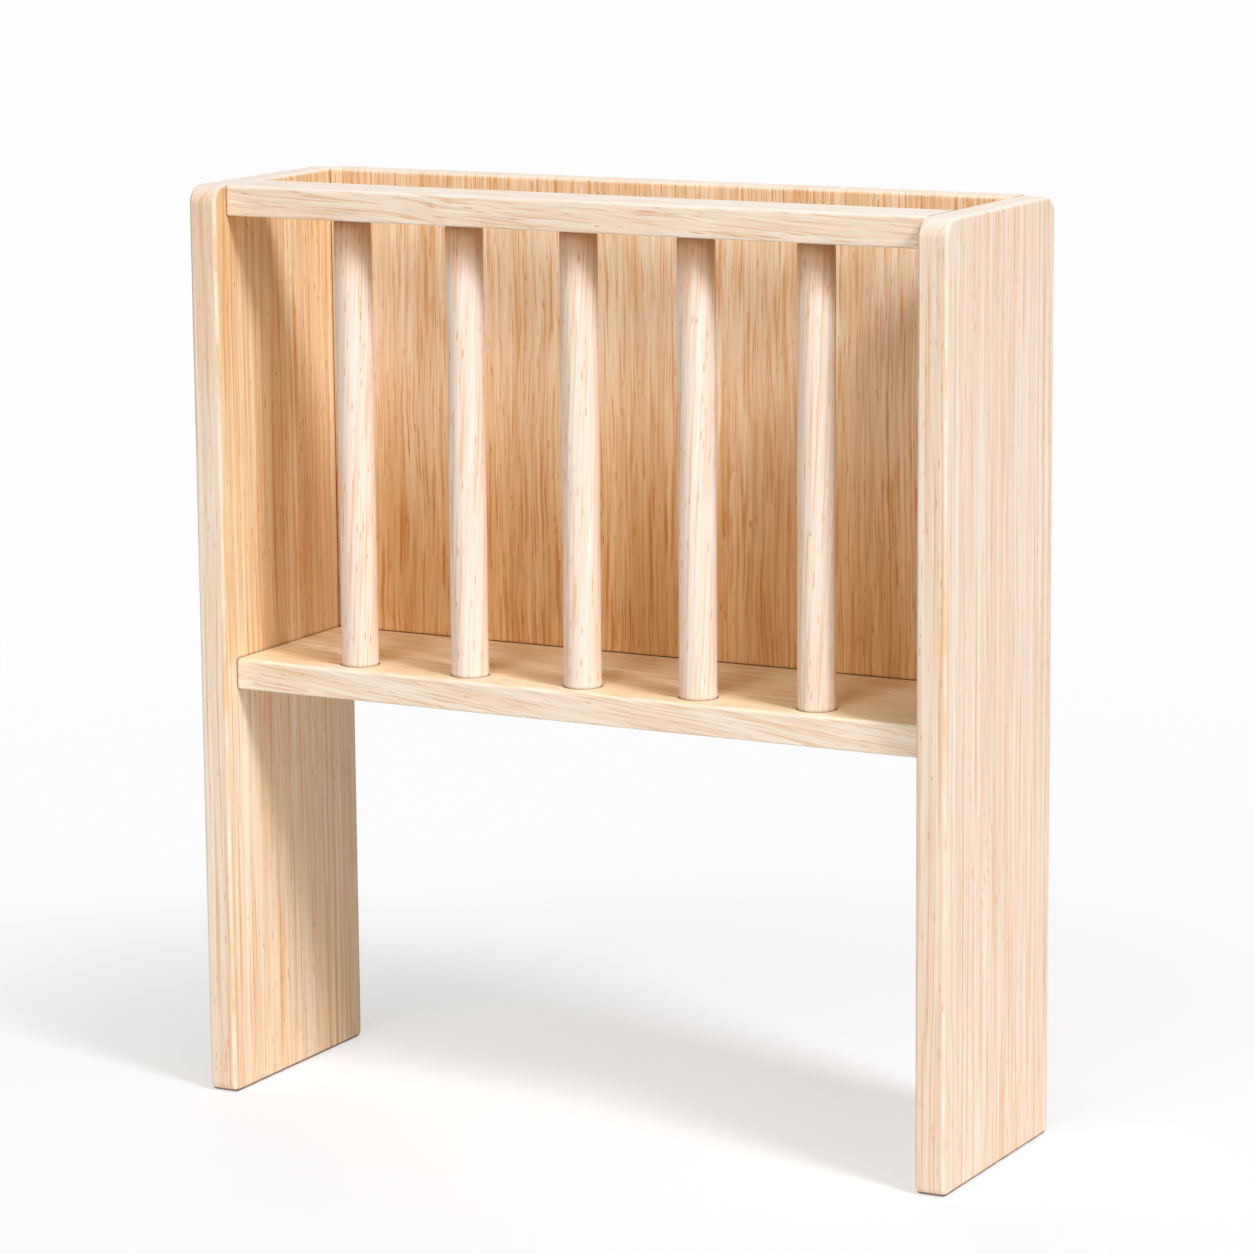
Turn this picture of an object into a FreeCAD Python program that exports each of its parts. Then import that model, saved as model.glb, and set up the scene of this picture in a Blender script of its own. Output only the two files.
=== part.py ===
import FreeCAD, Part
import Sketcher
import os

# Magazine rack in solid wood, in millimetres: +X to the right, +Y to the rear, +Z up.
# The origin lies on the floor under the middle of the rack. Two side panels stand on the
# floor and carry a raised shelf, a back panel that stands on the shelf, and a front rail.
# Round spindles close the front between shelf and rail. Wooden dowels line the boards up
# with the side panels, cam locks pull them tight, and screws from below hold the back panel.

Vector = FreeCAD.Vector
Rotation = FreeCAD.Rotation

doc = FreeCAD.newDocument("MagazineRack")

# ---------------------------------------------------------------- driving dimensions

driving_sizes = [
    ("overall_width", 400, "outer face to outer face of the side panels"),
    ("overall_depth", 120, "front edge to rear edge of a side panel"),
    ("overall_height", 450, "floor to the top of the side panels"),
    ("panel_thickness", 15, "side panel"),
    ("top_corner_radius", 9, "upper corners of a side panel, seen from the side"),
    ("foot_corner_radius", 4, "lower corners of a side panel, seen from the side"),
    ("panel_edge_radius", 2.4, "arris all round both faces of a side panel"),
    ("shelf_thickness", 15, "shelf board"),
    ("shelf_top_height", 218, "floor to the upper face of the shelf"),
    ("front_setback", 10, "front edges of shelf and rail behind the side panels"),
    ("back_thickness", 15, "back panel"),
    ("rail_depth", 30, "front rail, front to rear"),
    ("rail_thickness", 15, "front rail, top to bottom"),
    ("upper_edge_radius", 2, "upper long edges of shelf, rail and back panel"),
    ("lower_edge_radius", 1, "lower long edges of shelf and rail"),
    ("back_foot_radius", 0.6, "lower long edges of the back panel"),
    ("end_chamfer", 0.4, "ends of shelf, rail and back panel"),
    ("spindle_count", 5, "spindles, evenly spaced between the side panels"),
    ("spindle_diameter", 18, "spindle"),
    ("spindle_chamfer", 0.8, "both ends of a spindle"),
    ("spindle_seat_depth", 7.5, "how far a spindle reaches into shelf and rail"),
    ("spindle_clearance", 0.15, "round a spindle in its hole"),
    ("hole_end_gap", 0.5, "left free at the bottom of every blind hole"),
    ("dowel_diameter", 8, "dowels of shelf and back panel"),
    ("dowel_length", 30, "every dowel"),
    ("dowel_in_panel", 10, "the share of a dowel that sits in the side panel"),
    ("dowel_chamfer", 0.8, "both ends of a dowel"),
    ("dowel_clearance", 0.1, "round a dowel in its hole"),
    ("flute_count", 12, "glue flutes round a dowel"),
    ("flute_diameter", 0.8, "round-bottomed glue flute, centred on the dowel's surface"),
    ("shelf_dowel_inset", 20, "shelf dowels from the shelf's front and rear edges"),
    ("back_dowel_inset", 40, "back dowels from the back panel's top and bottom"),
    ("rail_dowel_diameter", 6, "dowels of the front rail"),
    ("rail_dowel_spacing", 15, "between the two dowels at each end of the rail"),
    ("cam_diameter", 15, "cam lock"),
    ("cam_height", 12, "cam lock"),
    ("cam_setback", 24, "cam lock's axis from the end of its board"),
    ("cam_chamfer", 0.5, "driver end of a cam lock"),
    ("cam_clearance", 0.1, "round a cam lock in its hole, and round a bolt's head in it"),
    ("cam_wall", 1.8, "rim left outside the channel for the bolt's head"),
    ("cam_sweep", 200, "degrees that the channel runs round a cam lock"),
    ("bolt_thread_diameter", 6, "cam bolt in the side panel"),
    ("bolt_thread_length", 10, "cam bolt in the side panel"),
    ("bolt_collar_width", 0.75, "collar that stops on the side panel's face, beyond the thread"),
    ("bolt_collar_length", 1.5, "collar that stops on the side panel's face"),
    ("bolt_shank_diameter", 5, "cam bolt between collar and neck"),
    ("bolt_tip_chamfer", 1, "end that starts in the side panel"),
    ("bolt_neck_diameter", 3.5, "waist behind the head"),
    ("bolt_neck_margin", 1.5, "waist that shows outside the cam lock"),
    ("bolt_head_diameter", 5.5, "head held by the cam lock"),
    ("bolt_head_length", 3, "head held by the cam lock"),
    ("bolt_head_taper", 1, "cone on the head, on the side of the waist"),
    ("bolt_clearance", 0.2, "round a cam bolt in its holes"),
    ("screw_count", 3, "screws up through the shelf into the back panel"),
    ("screw_spacing", 120, "between neighbouring screws"),
    ("screw_diameter", 4, "wood screw"),
    ("screw_length", 38, "wood screw"),
    ("screw_head_diameter", 8, "countersunk head"),
    ("screw_head_angle", 90, "degrees across the cone of a countersunk head"),
    ("screw_head_sink", 0.3, "head below the underside of the shelf"),
    ("screw_tip_length", 4, "pointed end"),
    ("screw_tip_diameter", 0.6, "blunt end of the point"),
    ("screw_clearance", 0.1, "round a screw in its holes"),
    ("recess_span", 5, "cross recess of a cam lock, tip to tip"),
    ("screw_recess_span", 4, "cross recess of a screw, tip to tip"),
    ("recess_width", 1, "arm of a cross recess"),
    ("recess_depth", 1.6, "cross recess"),
]

sheet = doc.addObject("Spreadsheet::Sheet", "Sizes")
for row, (alias, number, meaning) in enumerate(driving_sizes, start=1):
    sheet.set("A%d" % row, meaning)
    sheet.set("B%d" % row, str(number))
    sheet.setAlias("B%d" % row, alias)
doc.recompute()

# Lengths and places that follow from the driving dimensions, as expressions.

inner_width = "(Sizes.overall_width - 2 * Sizes.panel_thickness)"
shelf_depth = "(Sizes.overall_depth - Sizes.front_setback)"
shelf_bottom = "(Sizes.shelf_top_height - Sizes.shelf_thickness)"
back_front = "(Sizes.overall_depth - Sizes.back_thickness)"
back_height = "(Sizes.overall_height - Sizes.shelf_top_height)"
rail_bottom = "(Sizes.overall_height - Sizes.rail_thickness)"
spindle_pitch = inner_width + " / (Sizes.spindle_count + 1)"
spindle_length = "(%s - Sizes.shelf_top_height + 2 * Sizes.spindle_seat_depth)" % rail_bottom
spindle_hole = "Sizes.spindle_diameter + 2 * Sizes.spindle_clearance"
spindle_hole_depth = "Sizes.spindle_seat_depth + Sizes.hole_end_gap"
screw_hole = "Sizes.screw_diameter + 2 * Sizes.screw_clearance"
first_screw = "(%s - (Sizes.screw_count - 1) * Sizes.screw_spacing) / 2" % inner_width
screw_in_back = "Sizes.screw_length + Sizes.screw_head_sink - Sizes.shelf_thickness"
screw_cone = "tan(Sizes.screw_head_angle / 2)"
screw_head_length = "(Sizes.screw_head_diameter - Sizes.screw_diameter) / 2 / " + screw_cone
bolt_collar = "(Sizes.bolt_thread_diameter + 2 * Sizes.bolt_collar_width)"
cam_hole = "Sizes.cam_diameter + 2 * Sizes.cam_clearance"
cam_hole_depth = "Sizes.cam_height + Sizes.cam_clearance"
channel_radius = "(Sizes.cam_diameter / 2 - Sizes.cam_wall)"
head_channel = "(Sizes.bolt_head_diameter + 2 * Sizes.cam_clearance)"
neck_slot = "(Sizes.bolt_neck_diameter + 2 * Sizes.cam_clearance)"

# The head's near end, from the cam lock's axis, where the waist's rim meets the channel.
head_reach = "(sqrt(%s ^ 2 - (Sizes.bolt_neck_diameter / 2) ^ 2) - Sizes.cam_clearance)" % channel_radius
channel_core = "(%s - Sizes.bolt_head_length - Sizes.cam_clearance)" % head_reach

# Each board lies between the side panels. Its own frame starts at its left end, at its
# front lower edge; front and bottom place that edge from the side panel's front and floor.

boards = {
    "shelf_board": {
        "prefix": "shelf",
        "front": "Sizes.front_setback",
        "bottom": shelf_bottom,
        "depth": shelf_depth,
        "height": "Sizes.shelf_thickness",
        "lower_radius": "Sizes.lower_edge_radius",
    },
    "back_panel": {
        "prefix": "back",
        "front": back_front,
        "bottom": "Sizes.shelf_top_height",
        "depth": "Sizes.back_thickness",
        "height": back_height,
        "lower_radius": "Sizes.back_foot_radius",
    },
    "front_rail": {
        "prefix": "rail",
        "front": "Sizes.front_setback",
        "bottom": rail_bottom,
        "depth": "Sizes.rail_depth",
        "height": "Sizes.rail_thickness",
        "lower_radius": "Sizes.lower_edge_radius",
    },
}

# Everything that crosses from a board's end into a side panel, placed in the board's
# own section: y from the board's front edge, z from its underside.

shelf_middle = "Sizes.shelf_thickness / 2"
back_middle = "Sizes.back_thickness / 2"
rail_middle = "Sizes.rail_thickness / 2"
rail_centre = "Sizes.rail_depth / 2"

fittings = [
    {"board": "shelf_board", "kind": "dowel", "place": "front",
     "y": "Sizes.shelf_dowel_inset", "z": shelf_middle},
    {"board": "shelf_board", "kind": "cam", "place": "middle",
     "y": shelf_depth + " / 2", "z": shelf_middle},
    {"board": "shelf_board", "kind": "dowel", "place": "rear",
     "y": shelf_depth + " - Sizes.shelf_dowel_inset", "z": shelf_middle},
    {"board": "back_panel", "kind": "dowel", "place": "lower",
     "y": back_middle, "z": "Sizes.back_dowel_inset"},
    {"board": "back_panel", "kind": "cam", "place": "middle",
     "y": back_middle, "z": back_height + " / 2"},
    {"board": "back_panel", "kind": "dowel", "place": "upper",
     "y": back_middle, "z": back_height + " - Sizes.back_dowel_inset"},
    {"board": "front_rail", "kind": "rail_dowel", "place": "front",
     "y": rail_centre + " - Sizes.rail_dowel_spacing / 2", "z": rail_middle},
    {"board": "front_rail", "kind": "rail_dowel", "place": "rear",
     "y": rail_centre + " + Sizes.rail_dowel_spacing / 2", "z": rail_middle},
]

# The holes that each kind of fitting needs: their diameters and depths.

holes = {
    "dowel": {
        "panel_hole": "Sizes.dowel_diameter + 2 * Sizes.dowel_clearance",
        "panel_depth": "Sizes.dowel_in_panel + Sizes.hole_end_gap",
        "board_hole": "Sizes.dowel_diameter + 2 * Sizes.dowel_clearance",
        "board_depth": "Sizes.dowel_length - Sizes.dowel_in_panel + Sizes.hole_end_gap",
    },
    "rail_dowel": {
        "panel_hole": "Sizes.rail_dowel_diameter + 2 * Sizes.dowel_clearance",
        "panel_depth": "Sizes.dowel_in_panel + Sizes.hole_end_gap",
        "board_hole": "Sizes.rail_dowel_diameter + 2 * Sizes.dowel_clearance",
        "board_depth": "Sizes.dowel_length - Sizes.dowel_in_panel + Sizes.hole_end_gap",
    },
    "cam": {
        "panel_hole": "Sizes.bolt_thread_diameter + 2 * Sizes.bolt_clearance",
        "panel_depth": "Sizes.bolt_thread_length + Sizes.hole_end_gap",
        "board_hole": bolt_collar + " + 2 * Sizes.bolt_clearance",
        "board_depth": "Sizes.cam_setback",
    },
}

sides = ("left", "right")

same_place = 1e-6
smallest_cut = 1e-3

# ---------------------------------------------------------------- modelling helpers


def measure(expression):
    """The number that an expression has now."""
    return float(sheet.evalExpression(expression))


def place_of(fitting):
    """A fitting's y from the panels' front edge and its z from the floor."""
    board = boards[fitting["board"]]
    return "%s + %s" % (board["front"], fitting["y"]), "%s + %s" % (board["bottom"], fitting["z"])


def origin_feature(body, role):
    """A body's own origin plane or axis, found by its role."""
    for feature in body.Origin.OriginFeatures:
        if feature.Role == role:
            return feature
    raise ValueError("no origin feature " + role)


def new_body(label, x, y, z, rotation=Rotation()):
    """An empty body whose placement follows the sheet; y counts from the panels' front edge."""
    body = doc.addObject("PartDesign::Body", label)
    body.Label = label
    body.Placement = FreeCAD.Placement(Vector(), rotation)
    body.setExpression("Placement.Base.x", x)
    body.setExpression("Placement.Base.y", "%s - Sizes.overall_depth / 2" % y)
    body.setExpression("Placement.Base.z", z)
    return body


def new_sketch(body, name, role, offset="0"):
    """A sketch on one of the body's origin planes, moved along the plane's normal."""
    sketch = body.newObject("Sketcher::SketchObject", "%s_%s" % (body.Name, name))
    sketch.AttachmentSupport = (origin_feature(body, role), [""])
    sketch.MapMode = "FlatFace"
    sketch.setExpression("AttachmentOffset.Base.z", offset)
    return sketch


def drive(sketch, kind, *where, by):
    """A sketch dimension that follows an expression."""
    index = sketch.addConstraint(Sketcher.Constraint(kind, *where, measure(by)))
    sketch.renameConstraint(index, "%s_%d" % (kind, index))
    sketch.setExpression("Constraints.%s_%d" % (kind, index), by)


def add_loop(sketch, corners):
    """A closed loop of straight lines, each joined to the next."""
    first = sketch.GeometryCount
    lines = range(first, first + len(corners))
    for start, end in zip(corners, corners[1:] + corners[:1]):
        sketch.addGeometry(Part.LineSegment(start, end), False)
    for line in lines:
        following = line + 1 if line + 1 in lines else first
        sketch.addConstraint(Sketcher.Constraint("Coincident", line, 2, following, 1))
    return list(lines)


def add_rectangle(sketch, width, height, corner=None, centred=False):
    """A rectangle from the sketch's origin, from a given lower left corner, or centred."""
    left, bottom = (measure(corner[0]), measure(corner[1])) if corner else (0, 0)
    if centred:
        left, bottom = -measure(width) / 2, -measure(height) / 2
    right = left + measure(width)
    top = bottom + measure(height)
    corners = [Vector(left, bottom), Vector(right, bottom), Vector(right, top), Vector(left, top)]
    bottom_line, right_line, top_line, left_line = add_loop(sketch, corners)
    for line in (bottom_line, top_line):
        sketch.addConstraint(Sketcher.Constraint("Horizontal", line))
    for line in (right_line, left_line):
        sketch.addConstraint(Sketcher.Constraint("Vertical", line))
    if centred:
        sketch.addConstraint(Sketcher.Constraint("Symmetric", bottom_line, 1, top_line, 1, -1, 1))
    elif corner:
        drive(sketch, "DistanceX", -1, 1, bottom_line, 1, by=corner[0])
        drive(sketch, "DistanceY", -1, 1, bottom_line, 1, by=corner[1])
    else:
        sketch.addConstraint(Sketcher.Constraint("Coincident", bottom_line, 1, -1, 1))
    drive(sketch, "DistanceX", bottom_line, 1, bottom_line, 2, by=width)
    drive(sketch, "DistanceY", right_line, 1, right_line, 2, by=height)


def add_circle(sketch, across, up, diameter):
    """A circle whose centre is measured from the sketch's origin."""
    centre = Vector(measure(across), measure(up))
    circle = sketch.addGeometry(Part.Circle(centre, Vector(0, 0, 1), measure(diameter) / 2), False)
    drive(sketch, "DistanceX", -1, 1, circle, 3, by=across)
    drive(sketch, "DistanceY", -1, 1, circle, 3, by=up)
    drive(sketch, "Diameter", circle, by=diameter)


def pad(body, sketch, length):
    """Material from the sketch along its normal."""
    feature = body.newObject("PartDesign::Pad", sketch.Name + "_pad")
    feature.Profile = sketch
    feature.setExpression("Length", length)
    body.Tip = feature


def pocket(body, sketch, depth, along_normal):
    """A cut from the sketch, along its normal or against it."""
    feature = body.newObject("PartDesign::Pocket", sketch.Name + "_pocket")
    feature.Profile = sketch
    feature.Reversed = along_normal
    feature.setExpression("Length", depth)
    body.Tip = feature
    return feature


def edge_names(shape, chosen):
    """The names of a shape's edges that pass a test."""
    return ["Edge%d" % number for number, edge in enumerate(shape.Edges, start=1) if chosen(edge)]


def runs_along_x(edge):
    """True for an edge whose ends differ in X alone."""
    ends = [vertex.Point for vertex in edge.Vertexes]
    if len(ends) < 2:
        return False
    step = ends[1] - ends[0]
    return abs(step.x) > same_place and max(abs(step.y), abs(step.z)) < same_place


def dress_edges(body, kind, name, size, amount, chosen):
    """A fillet or chamfer on those edges of the body so far that pass a test."""
    doc.recompute()
    before = body.Tip
    feature = body.newObject("PartDesign::" + kind, "%s_%s" % (body.Name, name))
    feature.Base = (before, edge_names(before.Shape, chosen))
    feature.setExpression(size, amount)
    body.Tip = feature


def repeat(body, kind, name, originals, axis, **driven):
    """A pattern of features about or along one of the body's origin axes."""
    doc.recompute()
    pattern = body.newObject("PartDesign::" + kind, "%s_%s" % (body.Name, name))
    pattern.Originals = originals
    if kind == "LinearPattern":
        pattern.Mode = "Spacing"
        pattern.Direction = (origin_feature(body, axis), [""])
    else:
        pattern.Axis = (origin_feature(body, axis), [""])
    for prop, expression in driven.items():
        pattern.setExpression(prop, expression)
    body.Tip = pattern


def drill_along_x(body, name, face, towards_right, centres, diameter, depth):
    """Blind holes along X from the plane x = face, with (y, z) centres in the body's frame."""
    sketch = new_sketch(body, name, "YZ_Plane", face)
    for y, z in centres:
        add_circle(sketch, y, z, diameter)
    pocket(body, sketch, depth, towards_right)


def turn(body, stations):
    """A solid turned about the body's X axis from (distance, radius) stations."""
    sketch = new_sketch(body, "section", "XY_Plane")
    outline = [Vector(measure(along), measure(radius)) for along, radius in stations]
    corners = [Vector(0, 0)] + outline + [Vector(outline[-1].x, 0)]
    lines = add_loop(sketch, corners)
    sketch.addConstraint([
        Sketcher.Constraint("Coincident", lines[0], 1, -1, 1),
        Sketcher.Constraint("Vertical", lines[0]),
        Sketcher.Constraint("Vertical", lines[-2]),
        Sketcher.Constraint("Horizontal", lines[-1]),
    ])
    for line, (along, radius) in zip(lines[1:], stations):
        drive(sketch, "DistanceY", -1, 1, line, 1, by=radius)
        if line != lines[1]:
            drive(sketch, "DistanceX", -1, 1, line, 1, by=along)
    feature = body.newObject("PartDesign::Revolution", body.Name + "_turned")
    feature.Profile = sketch
    feature.ReferenceAxis = (sketch, ["H_Axis"])
    body.Tip = feature


def carve(body, sketch, sweep):
    """A cut turned about the body's X axis, half the sweep to each side of the sketch."""
    feature = body.newObject("PartDesign::Groove", sketch.Name + "_groove")
    feature.Profile = sketch
    feature.ReferenceAxis = (sketch, ["H_Axis"])
    feature.Midplane = True
    feature.setExpression("Angle", sweep)
    body.Tip = feature


def cut_cross_recess(body, span):
    """A driver's cross recess in the end face at the start of a turned piece."""
    for name, width, height in (("recess_flat", span, "Sizes.recess_width"),
                                ("recess_upright", "Sizes.recess_width", span)):
        sketch = new_sketch(body, name, "YZ_Plane")
        add_rectangle(sketch, width, height, centred=True)
        pocket(body, sketch, "Sizes.recess_depth", along_normal=True)


# ---------------------------------------------------------------- side panels


def make_side_panel(side):
    """An upright board with rounded corners, bored on its inner face."""
    if side == "left":
        outer_face = "-Sizes.overall_width / 2"
        inner_face = "Sizes.panel_thickness"
    else:
        outer_face = "Sizes.overall_width / 2 - Sizes.panel_thickness"
        inner_face = "0"
    body = new_body("side_panel_" + side, outer_face, "0", "0")
    outline = new_sketch(body, "outline", "YZ_Plane")
    add_rectangle(outline, "Sizes.overall_depth", "Sizes.overall_height")
    pad(body, outline, "Sizes.panel_thickness")
    middle = measure("Sizes.overall_height / 2")
    dress_edges(body, "Fillet", "top_corners", "Radius", "Sizes.top_corner_radius",
                lambda edge: runs_along_x(edge) and edge.CenterOfMass.z > middle)
    dress_edges(body, "Fillet", "foot_corners", "Radius", "Sizes.foot_corner_radius",
                lambda edge: runs_along_x(edge) and edge.CenterOfMass.z < same_place)
    dress_edges(body, "Fillet", "arris", "Radius", "Sizes.panel_edge_radius",
                lambda edge: not runs_along_x(edge))
    for kind, hole in holes.items():
        centres = [place_of(fitting) for fitting in fittings if fitting["kind"] == kind]
        drill_along_x(body, kind + "_holes", inner_face, side == "right",
                      centres, hole["panel_hole"], hole["panel_depth"])


# ---------------------------------------------------------------- boards between the panels


def make_board(label):
    """A board with eased edges, bored at both ends for its own fittings."""
    board = boards[label]
    body = new_body(label, "-%s / 2" % inner_width, board["front"], board["bottom"])
    section = new_sketch(body, "section", "YZ_Plane")
    add_rectangle(section, board["depth"], board["height"])
    pad(body, section, inner_width)
    middle = measure(board["height"]) / 2
    dress_edges(body, "Fillet", "upper_edges", "Radius", "Sizes.upper_edge_radius",
                lambda edge: runs_along_x(edge) and edge.CenterOfMass.z > middle)
    dress_edges(body, "Fillet", "lower_edges", "Radius", board["lower_radius"],
                lambda edge: runs_along_x(edge) and edge.CenterOfMass.z < same_place)
    dress_edges(body, "Chamfer", "end_edges", "Size", "Sizes.end_chamfer",
                lambda edge: not runs_along_x(edge))
    for side, face in zip(sides, ("0", inner_width)):
        for kind, hole in holes.items():
            centres = [(fitting["y"], fitting["z"]) for fitting in fittings
                       if fitting["board"] == label and fitting["kind"] == kind]
            if centres:
                drill_along_x(body, "%s_holes_%s" % (kind, side), face, side == "left",
                              centres, hole["board_hole"], hole["board_depth"])
    return body


def bore_spindle_holes(body, face, upwards):
    """The row of blind holes that the spindles stand in."""
    sketch = new_sketch(body, "spindle_hole", "XY_Plane", face)
    add_circle(sketch, spindle_pitch, rail_centre, spindle_hole)
    first_hole = pocket(body, sketch, spindle_hole_depth, along_normal=upwards)
    repeat(body, "LinearPattern", "spindle_holes", [first_hole], "X_Axis",
           Offset=spindle_pitch, Occurrences="Sizes.spindle_count")


def bore_cam_holes(body, role, offset, up, along_normal):
    """The two holes that the board's cam locks are pressed into."""
    sketch = new_sketch(body, "cam_holes", role, offset)
    for x in ("Sizes.cam_setback", inner_width + " - Sizes.cam_setback"):
        add_circle(sketch, x, up, cam_hole)
    pocket(body, sketch, cam_hole_depth, along_normal)


def make_shelf():
    """The raised shelf: spindle holes above, cam locks and countersunk screws below."""
    body = make_board("shelf_board")
    bore_spindle_holes(body, "Sizes.shelf_thickness", upwards=False)
    bore_cam_holes(body, "XY_Plane", "0", shelf_depth + " / 2", along_normal=True)
    sketch = new_sketch(body, "screw_hole", "XY_Plane")
    screw_line = "%s - Sizes.front_setback + %s" % (back_front, back_middle)
    add_circle(sketch, first_screw, screw_line, screw_hole)
    doc.recompute()
    screw = body.newObject("PartDesign::Hole", body.Name + "_countersunk_hole")
    screw.Profile = sketch
    doc.recompute()
    screw.Threaded = False
    screw.DepthType = "Dimension"
    screw.Reversed = True
    screw.DrillPoint = "Flat"
    screw.HoleCutType = "Countersink"
    screw.setExpression("Depth", "Sizes.shelf_thickness")
    screw.setExpression("Diameter", screw_hole)
    screw.setExpression("HoleCutCountersinkAngle", "Sizes.screw_head_angle")
    screw.setExpression("HoleCutDiameter", "Sizes.screw_head_diameter + 2 * Sizes.screw_clearance"
                                           " + 2 * Sizes.screw_head_sink * " + screw_cone)
    body.Tip = screw
    repeat(body, "LinearPattern", "screw_holes", [screw], "X_Axis",
           Offset="Sizes.screw_spacing", Occurrences="Sizes.screw_count")


def make_back():
    """The back panel: cam locks in its rear face, screws up into its lower edge."""
    body = make_board("back_panel")
    bore_cam_holes(body, "XZ_Plane", "-Sizes.back_thickness", back_height + " / 2",
                   along_normal=True)
    sketch = new_sketch(body, "screw_hole", "XY_Plane")
    add_circle(sketch, first_screw, back_middle, screw_hole)
    first_hole = pocket(body, sketch, "%s + Sizes.hole_end_gap" % screw_in_back, along_normal=True)
    repeat(body, "LinearPattern", "screw_holes", [first_hole], "X_Axis",
           Offset="Sizes.screw_spacing", Occurrences="Sizes.screw_count")


def make_rail():
    """The front rail: the spindles' upper ends sit in its underside."""
    body = make_board("front_rail")
    bore_spindle_holes(body, "0", upwards=True)


# ---------------------------------------------------------------- turned pieces

# A turned piece is modelled along its own X axis, from its start to its end.

# The first rotations start it in a side panel; the others start it at its driver's end.
outward_start = {"left": Rotation(), "right": Rotation(Vector(0, 0, 1), 180)}
driver_below = Rotation(Vector(0, 1, 0), -90)
driver_behind = Rotation(Vector(0, 0, 1), -90)

# A cam lock's channel is cut on its own +Z side, which is turned to face the side panel.
towards_panel_below = {"left": Rotation(), "right": Rotation(Vector(1, 0, 0), 180)}
towards_panel_behind = {"left": Rotation(Vector(1, 0, 0), 90), "right": Rotation(Vector(1, 0, 0), -90)}


def from_panel(side, distance):
    """X at a distance from a side panel's inner face, towards the middle of the rack."""
    if side == "left":
        return "-%s / 2 + (%s)" % (inner_width, distance)
    return "%s / 2 - (%s)" % (inner_width, distance)


def make_spindle(number):
    """A plain round bar standing in the shelf and reaching into the rail."""
    body = new_body("spindle_%d" % number, "-%s / 2 + %d * %s" % (inner_width, number, spindle_pitch),
                    "Sizes.front_setback + " + rail_centre,
                    "Sizes.shelf_top_height - Sizes.spindle_seat_depth", driver_below)
    radius = "Sizes.spindle_diameter / 2"
    turn(body, [("0", radius + " - Sizes.spindle_chamfer"),
                ("Sizes.spindle_chamfer", radius),
                (spindle_length + " - Sizes.spindle_chamfer", radius),
                (spindle_length, radius + " - Sizes.spindle_chamfer")])


def make_dowel(fitting, side, diameter):
    """A fluted dowel, partly in the side panel and partly in the board."""
    y, z = place_of(fitting)
    label = "%s_dowel_%s_%s" % (boards[fitting["board"]]["prefix"], side, fitting["place"])
    body = new_body(label, from_panel(side, "-Sizes.dowel_in_panel"), y, z, outward_start[side])
    radius = diameter + " / 2"
    turn(body, [("0", radius + " - Sizes.dowel_chamfer"),
                ("Sizes.dowel_chamfer", radius),
                ("Sizes.dowel_length - Sizes.dowel_chamfer", radius),
                ("Sizes.dowel_length", radius + " - Sizes.dowel_chamfer")])
    sketch = new_sketch(body, "flute", "YZ_Plane")
    add_circle(sketch, "0", radius, "Sizes.flute_diameter")
    flute = pocket(body, sketch, "Sizes.dowel_length", along_normal=True)
    repeat(body, "PolarPattern", "flutes", [flute], "X_Axis", Occurrences="Sizes.flute_count")


def make_cam_bolt(fitting, side):
    """A bolt screwed into the side panel; its head ends inside the board's cam lock."""
    y, z = place_of(fitting)
    label = "%s_cam_bolt_%s" % (boards[fitting["board"]]["prefix"], side)
    body = new_body(label, from_panel(side, "-Sizes.bolt_thread_length"), y, z, outward_start[side])
    thread = "Sizes.bolt_thread_diameter / 2"
    collar = bolt_collar + " / 2"
    shank = "Sizes.bolt_shank_diameter / 2"
    neck = "Sizes.bolt_neck_diameter / 2"
    head = "Sizes.bolt_head_diameter / 2"
    panel_face = "Sizes.bolt_thread_length"
    collar_end = panel_face + " + Sizes.bolt_collar_length"
    cam_axis = panel_face + " + Sizes.cam_setback"
    neck_start = cam_axis + " - Sizes.cam_diameter / 2 - Sizes.bolt_neck_margin"
    head_start = "%s - %s" % (cam_axis, head_reach)
    turn(body, [("0", thread + " - Sizes.bolt_tip_chamfer"),
                ("Sizes.bolt_tip_chamfer", thread),
                (panel_face, thread),
                (panel_face, collar),
                (collar_end, collar),
                (collar_end, shank),
                (neck_start, shank),
                (neck_start, neck),
                (head_start, neck),
                (head_start + " + Sizes.bolt_head_taper", head),
                (head_start + " + Sizes.bolt_head_length", head)])


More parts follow.
